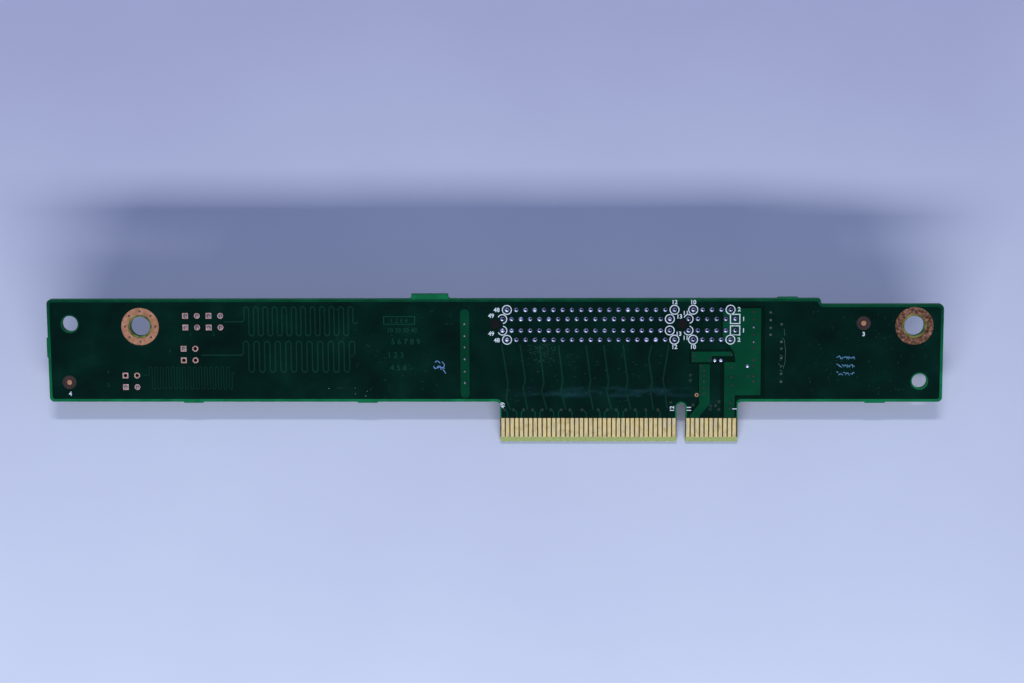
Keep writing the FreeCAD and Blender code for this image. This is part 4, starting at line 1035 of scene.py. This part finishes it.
scuffs = {
    "stroke": [(-0.7, 0), (-0.3, -0.02), (0.7, 0), (0.3, 0.02)],
    "patches": {
        "scuffs_tongue": {"at": (-20.0, -11.0), "Width": 36.0, "Height": 12.0, "Density": 0.2, "Turn": 0.5,
                          "Seed": 2},
        "scuffs_under_slot": {"at": (-30.0, -6.2), "Width": 6.0, "Height": 4.0, "Density": 3.0, "Turn": 3.1,
                              "Seed": 7},
        "scuffs_right_end": {"at": (40.0, -6.0), "Width": 26.0, "Height": 18.0, "Density": 0.22, "Turn": 1.6,
                             "Seed": 4},
        "scuffs_middle": {"at": (-62.0, -6.0), "Width": 26.0, "Height": 20.0, "Density": 0.1, "Turn": 0.4,
                          "Seed": 6},
    },
}
scuffShape = bpy.data.objects.new("scuff", flatSheet([scuffs["stroke"]], 0, 0.004))
for name, sizes in scuffs["patches"].items():
    mesh = grown(strewing, [(0, 0, 0)], [], Shape=scuffShape, Shortest=0.12, Longest=0.6,
                 Material=finish["scuff"], **sizes)
    mesh.transform(Matrix.Translation((*sizes["at"], face + 2.2 * thin)))
    finishPiece(name, mesh, "scuff", False, False)
bpy.data.objects.remove(scuffShape)
print("marks of use are on")

# the nodes that the frame brings, each in its finish
dress = {
    "board": ["circuit_board"],
    "nylon": ["slot_housing"],
    "spring": ["contacts_upper_inner", "contacts_upper_outer", "contacts_lower_inner", "contacts_lower_outer"],
    "gold": ["edge_contacts_solder_side", "edge_contacts_component_side"],
    "land": ["screw_rings", "fiducial_dots"],
    "rim": ["test_pads_open"],
    "copper": ["ground_strip", "power_area", "key_area"],
    "tantalum": ["bulk_capacitor_bodies"],
    "tin": ["bulk_capacitor_leads", "ceramic_capacitor_ends", "strap_resistor_ends"],
    "ceramic": ["ceramic_capacitor_bodies"],
    "glaze": ["strap_resistor_bodies"],
    "solder": ["chip_solder_beads", "test_pads_filled", "solder_joints_inner", "solder_joints_outer"],
}
for key, names in dress.items():
    for name in names:
        shape = nodes[name].data
        shape.materials.clear()
        shape.materials.append(finish[key])
print("carried-over nodes are dressed")

# the table: uncoated white card, matt and a little uneven, with painted light and shade: its seen colour is
# brighter in front of the card than what it throws back, and darker behind the card
table = {
    "near": "#ECF3FF",  # in front of the card
    "far": "#C0C3DC",
    "lit": "#C8D0EE",  # what it throws back on the card
    "fade": (-0.07, 0.09),
    "perMetre": 11.0,  # soft patches 9 cm across
    "uneven": 0.5,
    "half": 4,
}
tableMaterial, tableTree = startMaterial("paperSweep")
tableSpace = addNode(tableTree, "ShaderNodeTexCoord").outputs["Object"]
tableLines = addNode(tableTree, "ShaderNodeSeparateXYZ", Vector=tableSpace).outputs
# painted shade: the table darkens from in front of the card to behind it
away = addNode(tableTree, "ShaderNodeMapRange", Value=tableLines["Y"], From_Min=table["fade"][0],
               From_Max=table["fade"][1])
patches = addNode(tableTree, "ShaderNodeTexNoise", Vector=tableSpace, Scale=table["perMetre"], Detail=4.0)
uneven = addNode(tableTree, "ShaderNodeMath", operation="MULTIPLY_ADD", i0=patches, i1=table["uneven"],
                 i2=away)
uneven = addNode(tableTree, "ShaderNodeMath", operation="SUBTRACT", i0=uneven, i1=table["uneven"] / 2)
tone = addNode(tableTree, "ShaderNodeValToRGB", Fac=uneven, stops=[(0.0, table["near"]), (1.0, table["far"])])
# painted light: what the camera and reflections see in front of the card is brighter than what the table throws
# back on the card
tone = addNode(tableTree, "ShaderNodeMix", data_type="RGBA", Factor=seenRay(tableTree),
               A=linear(table["lit"]), B=tone)
paper = addNode(tableTree, "ShaderNodeBsdfPrincipled", Base_Color=tone, Metallic=0.0, Roughness=0.9, IOR=1.5,
                Specular_IOR_Level=0.05)
addNode(tableTree, "ShaderNodeOutputMaterial", Surface=paper)
tableMesh = bpy.data.meshes.new("table")
reach = table["half"]
tableMesh.from_pydata([(u, v, 0) for u, v in box(-reach, -reach, reach, reach)], [], [(0, 1, 2, 3)])
tableMesh.materials.append(tableMaterial)
tableTop = bpy.data.objects.new("table", tableMesh)
scene.collection.objects.link(tableTop)

print("the scene is ready")
